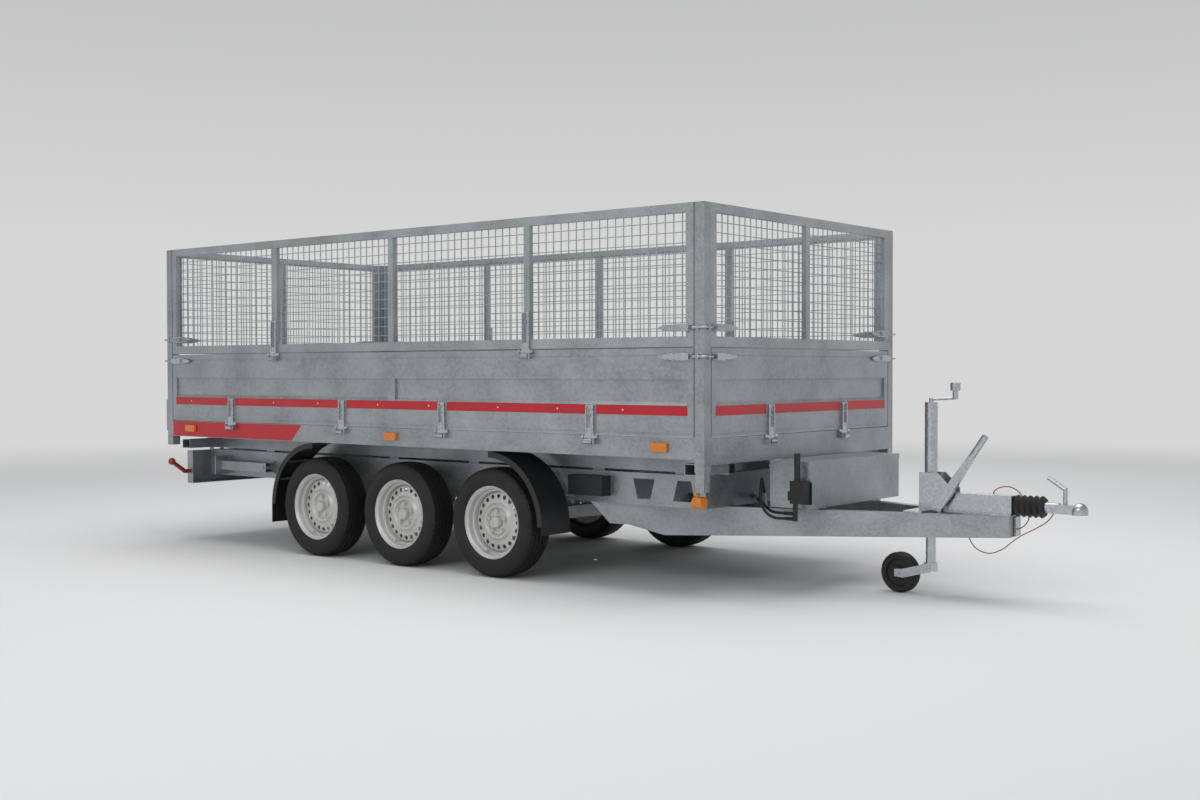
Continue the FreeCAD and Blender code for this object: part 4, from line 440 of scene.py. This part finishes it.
def smooth_line(points, per_run=6):
    """A smooth line through its points: each run is a cubic whose ends lean towards the neighbours."""
    p = np.asarray(points, float)
    p = np.concatenate([[2 * p[0] - p[1]], p, [2 * p[-1] - p[-2]]])
    t = np.linspace(0, 1, per_run, endpoint=False)[:, None]
    runs = [0.5 * (2 * b + (c - a) * t + (2 * a - 5 * b + 4 * c - d) * t ** 2
                   + (3 * b - a - 3 * c + d) * t ** 3)
            for a, b, c, d in zip(p, p[1:], p[2:], p[3:])]
    return np.concatenate(runs + [p[-2:-1]])


def sweep(section, path, up=(0, 0, 1)):
    """A closed section of (sideways, upwards) carried along a path, kept upright, with its ends closed."""
    path = np.asarray(path, float)
    section = np.asarray(section, float)
    along = np.gradient(path, axis=0)
    along /= np.linalg.norm(along, axis=1)[:, None]
    side = np.cross(along, np.asarray(up, float))
    side /= np.linalg.norm(side, axis=1)[:, None]
    top = np.cross(side, along)
    sideways, upwards = section[None, :, 0, None], section[None, :, 1, None]
    points = path[:, None] + sideways * side[:, None] + upwards * top[:, None]
    corners, faces = surface(points, close_v=True)
    count, last = len(section), (len(path) - 1) * len(section)
    faces.append(list(range(count)))
    faces.append([last + k for k in reversed(range(count))])
    return outward(corners, faces)


def round_section(radius, steps=12):
    """A circle as a section."""
    angles = np.arange(steps) * 2 * math.pi / steps
    return np.column_stack([radius * np.cos(angles), radius * np.sin(angles)])


def prism(outline, low, high, plane):
    """An outline carried straight from low to high: plane names the outline's two axes, such as 'xz'."""
    outline = np.asarray(outline, float)
    axes = ["xyz".index(a) for a in plane]
    rest = 3 - sum(axes)
    rows = np.zeros((2, len(outline), 3))
    rows[:, :, axes] = outline
    rows[0, :, rest], rows[1, :, rest] = low, high
    corners, faces = surface(rows, close_v=True)
    count = len(outline)
    faces.append(list(reversed(range(count))))
    faces.append([count + k for k in range(count)])
    return outward(corners, faces)


def slab(x0, x1, y0, y1, z0, z1):
    """A plate or bar between two corners, given in any order."""
    (x0, x1), (y0, y1), (z0, z1) = sorted((x0, x1)), sorted((y0, y1)), sorted((z0, z1))
    return prism([(x0, y0), (x1, y0), (x1, y1), (x0, y1)], z0, z1, "xy")


# ---------------------------------------------------------------- wheels
TYRE_R = 0.293
TREAD_HALF = 0.066
TREAD_PITCHES = 56
STEPS_A_PITCH = 7
MAIN_GROOVES = (-0.041, -0.0137, 0.0137, 0.041)
GROOVE_HALF = 0.0036
GROOVE_DEEP = 0.0065
SIDE_RINGS = (0.2100, 0.2330, 0.2600)
SIDE_RING_HIGH = 0.0014


def tyre_shape(centre, out):
    """A radial tyre turned round its axle. Its section runs bead, rounded sidewall, shoulder, crown,
    and back. The tread's height falls in four straight grooves, and across the ribs in slanting cuts
    that come once each pitch and are deepest at the shoulders."""
    wall = smooth_line([(0.1830, 0.0640), (0.1885, 0.0725), (0.1960, 0.0770), (0.2040, 0.0835),
                        (0.2200, 0.0900), (0.2400, 0.0923), (0.2560, 0.0910), (0.2700, 0.0860),
                        (0.2800, 0.0785), (0.2870, 0.0705)], 3)
    edges = [g + s * (GROOVE_HALF + e) for g in MAIN_GROOVES for s, e in ((-1, 0.0004), (-1, -0.0004),
                                                                      (1, -0.0004), (1, 0.0004))]
    edges += [-TREAD_HALF, -0.0535, -0.0273, 0.0, 0.0273, 0.0535, TREAD_HALF]
    across_tread = np.array(sorted(edges))[::-1]
    crown = TYRE_R - 0.9 * across_tread ** 2 - 12 * np.abs(across_tread) ** 3.2
    crown -= 0.0012 * (np.abs(across_tread) > 0.06)
    radius = np.concatenate([wall[:, 0], crown, wall[::-1, 0]])
    offset = np.concatenate([wall[:, 1], across_tread, -wall[::-1, 1]])
    steps = TREAD_PITCHES * STEPS_A_PITCH
    angle = np.arange(steps) * 2 * math.pi / steps
    turn, o = np.meshgrid(angle, offset, indexing="ij")
    height = np.broadcast_to(radius, turn.shape).copy()
    tread = np.abs(o) <= TREAD_HALF + 1e-6
    nearest = np.min(np.abs(o[..., None] - np.array(MAIN_GROOVES)), axis=-1)
    height -= np.where(tread & (nearest < GROOVE_HALF), GROOVE_DEEP, 0)
    slant = np.round(np.abs(o) * 60) * np.sign(o)
    phase = (turn * TREAD_PITCHES / (2 * math.pi) * STEPS_A_PITCH + slant) % STEPS_A_PITCH
    cut = (phase < 0.5) & (np.abs(o) > 0.0465)
    fine = (phase < 0.5) & (np.abs(o) <= 0.0465) & (nearest >= GROOVE_HALF)
    shoulder = (np.abs(o) > TREAD_HALF) & (height > 0.2755)
    height -= np.where(cut & tread, 0.0052, 0) + np.where(fine, 0.0022, 0)
    height -= np.where(cut & shoulder, 0.0035, 0)
    rings = ~tread & (np.abs(np.abs(height[..., None] - np.array(SIDE_RINGS))).min(axis=-1) < 0.0016)
    side = o * out + np.where(rings, SIDE_RING_HIGH * np.sign(o * out), 0)
    x = centre[0] + height * np.sin(turn)
    z = centre[2] + height * np.cos(turn)
    points = np.stack([x, centre[1] + side, z], -1)
    return outward(*surface(points, close_u=True, close_v=True))


VENTS = 20
VENT_RING = 0.137
VENT_RADIUS = 0.0122
VENT_HALF_BAND = 0.0155
VALVE_RING = 0.1615
VALVE_ANGLE = -1.9


def vent_cell(number, centre, out, level):
    """The part of the disc round one vent: its rings run from the round vent, whose edge is turned
    in, to the four-sided cell's border."""
    phi = np.arange(24) * 2 * math.pi / 24
    c, s = np.cos(phi), np.sin(phi)
    border = np.stack([c, s]) / np.maximum(np.abs(c), np.abs(s))
    half_turn = math.pi / VENTS
    hole = np.stack([c * VENT_RADIUS / VENT_HALF_BAND, s * VENT_RADIUS / (VENT_RING * half_turn)])
    grow = [0.93, 1.0, 1.12]
    rings = [hole * g for g in grow] + [hole * 1.12 + (border - hole * 1.12) * t for t in (0.5, 1.0)]
    sink = np.array([-0.0045, -0.0008, 0.0, 0.0, 0.0])
    a = np.array([r[0] for r in rings])
    b = np.array([r[1] for r in rings])
    radius = VENT_RING + VENT_HALF_BAND * a
    angle = 2 * half_turn * number + half_turn * b
    depth = level(radius) + sink[:, None]
    points = np.stack([centre[0] + radius * np.cos(angle), centre[1] + out * depth,
                       centre[2] + radius * np.sin(angle)], -1)
    corners, faces = surface(points, close_v=True)
    return corners, faces if out > 0 else [f[::-1] for f in faces]


def disc_level(radius):
    """How far the disc's face stands out from the wheel's middle, at a radius."""
    radii = [0.030, 0.046, 0.066, 0.072, 0.079, 0.088, 0.096, 0.103, 0.121, 0.153, 0.158, 0.163]
    level = [0.020, 0.018, 0.019, 0.027, 0.0345, 0.0360, 0.0300, 0.0235, 0.0215, 0.0165, 0.0125, 0.004]
    return np.interp(radius, radii, level)


def rim_shape(centre, out):
    """A pressed steel wheel: a stepped barrel with rolled edges, and a disc with a raised ring, a ring
    of vents and a dished middle."""
    axis = (0, out, 0)
    barrel = [(0.1815, 0.0640), (0.1880, 0.0655), (0.1925, 0.0690), (0.1950, 0.0730), (0.1945, 0.0762),
              (0.1915, 0.0768), (0.1885, 0.0740), (0.1860, 0.0705), (0.1800, 0.0675), (0.1765, 0.0620),
              (0.1750, 0.0520), (0.1745, 0.0400), (0.1725, 0.0360), (0.1660, 0.0330), (0.1635, 0.0270),
              (0.1630, -0.0350), (0.1700, -0.0420), (0.1735, -0.0480), (0.1740, -0.0640), (0.1880, -0.0700),
              (0.1920, -0.0760), (0.1950, -0.0740), (0.1900, -0.0660), (0.1780, -0.0600), (0.1770, -0.0450),
              (0.1665, -0.0330), (0.1665, 0.0250), (0.1775, 0.0420), (0.1785, 0.0600)]
    parts = [ring_of(barrel, centre, axis, 96)]
    radii = np.array([0.1635, 0.161, 0.158, 0.1555, 0.1525])
    parts.append(lathe_open(radii, centre, out, 80))
    radii = np.array([0.1215, 0.118, 0.112, 0.106, 0.103, 0.100, 0.096, 0.092, 0.088, 0.083, 0.079,
                      0.0755, 0.072, 0.069, 0.066, 0.060, 0.052, 0.046, 0.038, 0.030])
    parts.append(lathe_open(radii, centre, out, 80))
    parts += [vent_cell(k, centre, out, disc_level) for k in range(VENTS)]
    cap = [(0.0335, 0.016), (0.0335, 0.024), (0.0318, 0.030), (0.0300, 0.0455), (0.0280, 0.0490),
           (0.0200, 0.0500), (0.0185, 0.0485), (0.0, 0.0485)]
    parts.append(lathe(cap, centre, axis, 40))
    for k in range(5):
        a = 2 * math.pi * k / 5 + math.pi / 2
        place = (centre[0] + 0.056 * math.cos(a), centre[1] + out * 0.018, centre[2] + 0.056 * math.sin(a))
        parts.append(lathe([(0.0140, 0.0), (0.0135, 0.003), (0.0112, 0.006)], place, axis, 20))
        head = [(0.0100, 0.004), (0.0102, 0.016), (0.0085, 0.0185), (0.0, 0.0188)]
        parts.append(lathe(head, place, axis, 6))
    valve = (centre[0] + VALVE_RING * math.cos(VALVE_ANGLE), centre[1] + out * 0.030,
             centre[2] + VALVE_RING * math.sin(VALVE_ANGLE))
    parts.append(lathe([(0.0045, 0.0), (0.004, 0.018), (0.0048, 0.019), (0.0044, 0.031), (0.0, 0.0315)],
                       valve, axis, 12))
    return parts


def lathe_open(radii, centre, out, steps):
    """The disc's face turned round its axle, open at both edges."""
    level = disc_level(radii)
    angle = np.arange(steps) * 2 * math.pi / steps
    points = np.stack([centre[0] + radii[:, None] * np.cos(angle),
                       np.broadcast_to((centre[1] + out * level)[:, None], (len(radii), steps)),
                       centre[2] + radii[:, None] * np.sin(angle)], -1)
    corners, faces = surface(points, close_v=True)
    return corners, faces if out < 0 else [f[::-1] for f in faces]


def add_wheels():
    for axle in ("rear", "middle", "front"):
        for side, out in (("right", -1), ("left", 1)):
            low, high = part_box(f"{axle}_{side}_tyre")
            centre = np.array((low + high) / 2)
            body = f"{axle}_{side}_wheel"
            tyre = mesh_piece(f"{body}_tread", [tyre_shape(centre, out)], TYRE_RUBBER, body)
            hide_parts(f"{axle}_{side}_tyre")
            rim = mesh_piece(f"{body}_disc", rim_shape(centre, out), RIM_SILVER, body)
            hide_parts(f"{axle}_{side}_rim")


# ---------------------------------------------------------------- boards, straps and latches
BED_MIDDLE = BED_MIDDLE_X / 1000
SIDE_FACE = 0.938
END_FACE = 1.41515
REAR_FACE = -2.83485
SIDE_END = 2.065
END_HALF = 0.878
STRIPE = (0.8835, 0.9315)
STRIPE_GAP = 0.034
FILM = 0.0005
FILM_SEAT = 0.0003
BAR_RADIUS = 0.0065
BAR_OUT = 0.012
SKIRT = (0.681, 0.7755)
SKIRT_FILM_END = (-1.486, -1.578)
SIDE_STRAPS = (-1.444, -0.407, 0.407, 1.444)
MESH_STRAPS = (-1.020, 1.020)
END_STRAPS = (-0.368, 0.368)
PIN_Z = 0.748
MESH_PIN_Z = 1.173
LATCH_LONG = 0.190
STRAP_WIDE = 0.050
BOARD_LATCH_Z = 1.163
CAGE_LATCH_Z = 1.300


def placed(parts, origin, u, w):
    """Parts made as (along, outwards, up), set on a face from an origin: along u, outwards w."""
    turn = np.array([u, w, (0.0, 0.0, 1.0)])
    return [outward(np.asarray(origin, float) + np.asarray(c, float).reshape(-1, 3) @ turn, f)
            for c, f in parts]


def loop(section, path, up=(0, 1, 0)):
    """A closed section carried round a closed path."""
    path, section = np.asarray(path, float), np.asarray(section, float)
    along = np.roll(path, -1, 0) - np.roll(path, 1, 0)
    along /= np.linalg.norm(along, axis=1)[:, None]
    side = np.cross(along, np.asarray(up, float))
    side /= np.linalg.norm(side, axis=1)[:, None]
    top = np.cross(side, along)
    sideways, upwards = section[None, :, 0, None], section[None, :, 1, None]
    points = path[:, None] + sideways * side[:, None] + upwards * top[:, None]
    return outward(*surface(points, close_u=True, close_v=True))


def gaps_in(low, high, places, half):
    """The stretches between low and high that stay clear of each place by half a gap."""
    ends = [low] + [p + s * half for p in places for s in (-1, 1)] + [high]
    return list(zip(ends[::2], ends[1::2]))


def film(a, b, low, high):
    """A strip of film on a face, as (along, outwards, up)."""
    return prism([(a, low), (b, low), (b, high), (a, high)], -FILM_SEAT, FILM, "xz")


def add_stripes():
    """The red stripes on the boards, with a round white dot in each run, and the skirt's red end."""
    for side, out in (("right", -1), ("left", 1)):
        origin, u, w = (BED_MIDDLE, out * SIDE_FACE, 0), (1, 0, 0), (0, out, 0)
        runs = gaps_in(-SIDE_END + 0.035, SIDE_END - 0.035, SIDE_STRAPS, STRIPE_GAP)
        strips = [film(a, b, *STRIPE) for a, b in runs]
        middles = [(a + b) / 2 + s for a, b in runs for s in (-0.11, 0.3) if a < (a + b) / 2 + s < b]
        dots = [lathe([(0.0045, 0.0), (0.0042, FILM + 0.0004), (0.0, FILM + 0.0006)],
                      (x, 0, sum(STRIPE) / 2), (0, 1, 0), 14) for x in middles]
        mesh_piece(f"{side}_board_stripe", placed(strips, origin, u, w), RED_FILM, f"{side}_board",
                   smooth=False)
        mesh_piece(f"{side}_board_rivets", placed(dots, origin, u, w), WHITE_PLASTIC, f"{side}_board")
        start = -SIDE_END
        outline = [(start, SKIRT[0]), (SKIRT_FILM_END[1] - BED_MIDDLE, SKIRT[0]),
                   (SKIRT_FILM_END[0] - BED_MIDDLE, SKIRT[1]), (start, SKIRT[1])]
        zone = prism(outline, -FILM_SEAT, FILM, "xz")
        mesh_piece(f"{side}_skirt_film", placed([zone], origin, u, w), RED_FILM, "bed",
                   smooth=False)
    for name, face, out in (("front_board", END_FACE, 1), ("tailgate", REAR_FACE, -1)):
        places = END_STRAPS if out > 0 else ()
        runs = gaps_in(-END_HALF + 0.035, END_HALF - 0.035, places, STRIPE_GAP)
        strips = [film(a, b, *STRIPE) for a, b in runs]
        mesh_piece(f"{name}_stripe", placed(strips, (face, 0, 0), (0, 1, 0), (out, 0, 0)), RED_FILM, name,
                   smooth=False)


def strap_dress(height):
    """What is pressed into a hinge strap: turned-up edges along its slot, a flared foot with two
    bosses, and the bolt in the slot."""
    half = STRAP_WIDE / 2
    edges = []
    for s in (-1, 1):
        path = [(s * (half - 0.004), 0.011, 0.030), (s * (half - 0.004), 0.0125, 0.060),
                (s * (half - 0.004), 0.0125, height - 0.012), (s * (half - 0.008), 0.0115, height - 0.004)]
        edges.append(sweep(round_section(0.0038, 10), smooth_line(path, 5), up=(0, 1, 0)))
    top = smooth_line([(-half + 0.006, 0.011, height - 0.006), (0, 0.0125, height - 0.002),
                       (half - 0.006, 0.011, height - 0.006)], 6)
    edges.append(sweep(round_section(0.0038, 10), top, up=(0, 1, 0)))
    flare = np.array([(0.019, 0.066), (0.021, 0.046), (0.027, 0.032), (0.040, 0.0225), (0.051, 0.0185),
                      (0.052, 0.0150)])
    outline = np.concatenate([flare, (flare * (-1, 1))[::-1]])
    foot = [prism(outline, 0.0012, 0.0100, "xz")]
    foot.append(prism(outline * (0.86, 1) + (0, 0.003), 0.0100, 0.0128, "xz"))
    bosses = [lathe([(0.0092, 0.0), (0.0092, 0.013), (0.0070, 0.0165), (0.0, 0.0175)],
                    (s * 0.043, 0.001, 0.0235), (0, 1, 0), 18) for s in (-1, 1)]
    slot_bolt = lathe([(0.0062, 0.0), (0.0060, 0.0085), (0.0040, 0.0110), (0.0, 0.0116)],
                      (0, 0.001, height - 0.052), (0, 1, 0), 16)
    return edges + foot + bosses + [slot_bolt]


def latch_dress():
    """A toggle latch over its plate: an oval loop for a handle, two cheeks with their pins, rivets,
    and a stub that hooks the post's bar. It runs from the handle's tip to the panel's edge."""
    turn = np.arange(28) * 2 * math.pi / 28
    lean = 0.0125 + 0.0035 * np.cos(turn)
    path = np.column_stack([0.052 + 0.050 * np.cos(turn), lean, (0.0105 + 0.0045 * (1 + np.cos(turn)) / 2)
                            * np.sin(turn)])
    parts = [loop(round_section(0.0036, 10), path)]
    arch = [(0.080, 0.0), (0.088, 0.012), (0.104, 0.0215), (0.124, 0.0262), (0.146, 0.0240), (0.163, 0.0150),
            (0.172, 0.0)]
    for s in (-1, 1):
        parts.append(prism(smooth_line([(a, b, 0) for a, b in arch], 3)[:, :2], s * 0.0130, s * 0.0172, "xy"))
    for a, b in ((0.102, 0.0150), (0.134, 0.0180), (0.158, 0.0105)):
        parts.append(lathe([(0.0032, -0.0195), (0.0044, -0.0185), (0.0044, 0.0185), (0.0032, 0.0195)],
                           (a, b, 0), (0, 0, 1), 12))
    parts.append(prism([(0.060, -0.014), (0.064, -0.0185), (0.176, -0.0185), (0.181, -0.013), (0.181, 0.013),
                        (0.176, 0.0185), (0.064, 0.0185), (0.060, 0.014)], 0.0012, 0.0042, "xz"))
    parts += [lathe([(0.0042, 0.0), (0.0040, 0.0018), (0.0, 0.0030)], (a, 0.0042, c), (0, 1, 0), 12)
              for a in (0.070, 0.177) for c in (-0.0125, 0.0125)]
    tip = [(0.0010, -0.002), (0.0052, 0.0), (0.0052, 0.016), (0.0010, 0.018)]
    parts.append(lathe(tip, (0.006, 0.0125, 0), (-1, 0, 0), 12))
    return parts


def row_of(shape, places, origin, u, w, z):
    """A shape repeated along a face: each place is (how far along, +1 or -1 for the way it points)."""
    u = np.asarray(u, float)
    spots = [(np.asarray(origin, float) + u * along + (0, 0, z), s * u) for along, s in places]
    return [p for spot, way in spots for p in placed(shape, spot, way, w)]


def ends_of(half):
    """The starting places of the two latches on a panel of this half length."""
    return [(s * (half - LATCH_LONG), s) for s in (-1, 1)]


def add_strap_dress():
    """Straps and latches on the side boards, the side meshes and the ends."""
    board_strap, mesh_strap, latch = strap_dress(0.180), strap_dress(0.226), latch_dress()
    for side, out in (("right", -1), ("left", 1)):
        face = ((BED_MIDDLE, out * SIDE_FACE, 0), (1, 0, 0), (0, out, 0))
        board = row_of(board_strap, [(x, 1) for x in SIDE_STRAPS], *face, PIN_Z)
        board += row_of(latch, ends_of(SIDE_END), *face, BOARD_LATCH_Z)
        mesh_piece(f"{side}_board_straps", board, BRIGHT_ZINC, f"{side}_board")
        cage = row_of(mesh_strap, [(x, 1) for x in MESH_STRAPS], *face, MESH_PIN_Z)
        cage += row_of(latch, ends_of(SIDE_END), *face, CAGE_LATCH_Z)
        mesh_piece(f"{side}_mesh_straps", cage, BRIGHT_ZINC, f"{side}_mesh")
    front, rear = [((x, 0, 0), (0, 1, 0), (out, 0, 0)) for x, out in ((END_FACE, 1), (REAR_FACE, -1))]
    board = row_of(board_strap, [(y, 1) for y in END_STRAPS], *front, PIN_Z)
    board += row_of(latch, ends_of(END_HALF), *front, BOARD_LATCH_Z)
    mesh_piece("front_board_straps", board, BRIGHT_ZINC, "front_board")
    cage = [p for face in (front, rear) for p in row_of(latch, ends_of(END_HALF), *face, CAGE_LATCH_Z)]
    mesh_piece("end_mesh_latches", cage, BRIGHT_ZINC, "bed")


def add_post_bars():
    """The bars that the latches hook: each goes round a post's outer corner on short lugs."""
    bars = []
    for s in (-1, 1):
        for x, out in ((END_FACE, 1), (REAR_FACE, -1)):
            for z in (BOARD_LATCH_Z, CAGE_LATCH_Z):
                y, y_out = s * SIDE_FACE, s * (SIDE_FACE + BAR_OUT)
                path = [(x - out * 0.058, y_out, z), (x - out * 0.004, y_out, z),
                        (x + out * 0.006, s * (SIDE_FACE + 0.008), z),
                        (x + out * BAR_OUT, s * (SIDE_FACE - 0.004), z)]
                goes_round = out > 0 or z == CAGE_LATCH_Z
                if goes_round:
                    path.append((x + out * BAR_OUT, s * (END_HALF + 0.008), z))
                    bars.append(slab(x - out * 0.001, x + out * BAR_OUT, y - s * 0.034, y - s * 0.026,
                                     z - 0.013, z + 0.013))
                bars.append(sweep(round_section(BAR_RADIUS, 12), smooth_line(path, 5)))
                bars.append(slab(x - out * 0.034, x - out * 0.026, y - s * 0.001, y_out,
                                 z - 0.013, z + 0.013))
    mesh_piece("post_latch_bars", bars, BRIGHT_ZINC, "bed")


# ---------------------------------------------------------------- the whole scene
bpy.context.scene.view_settings.view_transform = "Standard"
add_camera()
add_stage()
add_world()
add_lights()
finish_cad_nodes()
add_cords()
add_wheels()
add_stripes()
add_strap_dress()
add_post_bars()
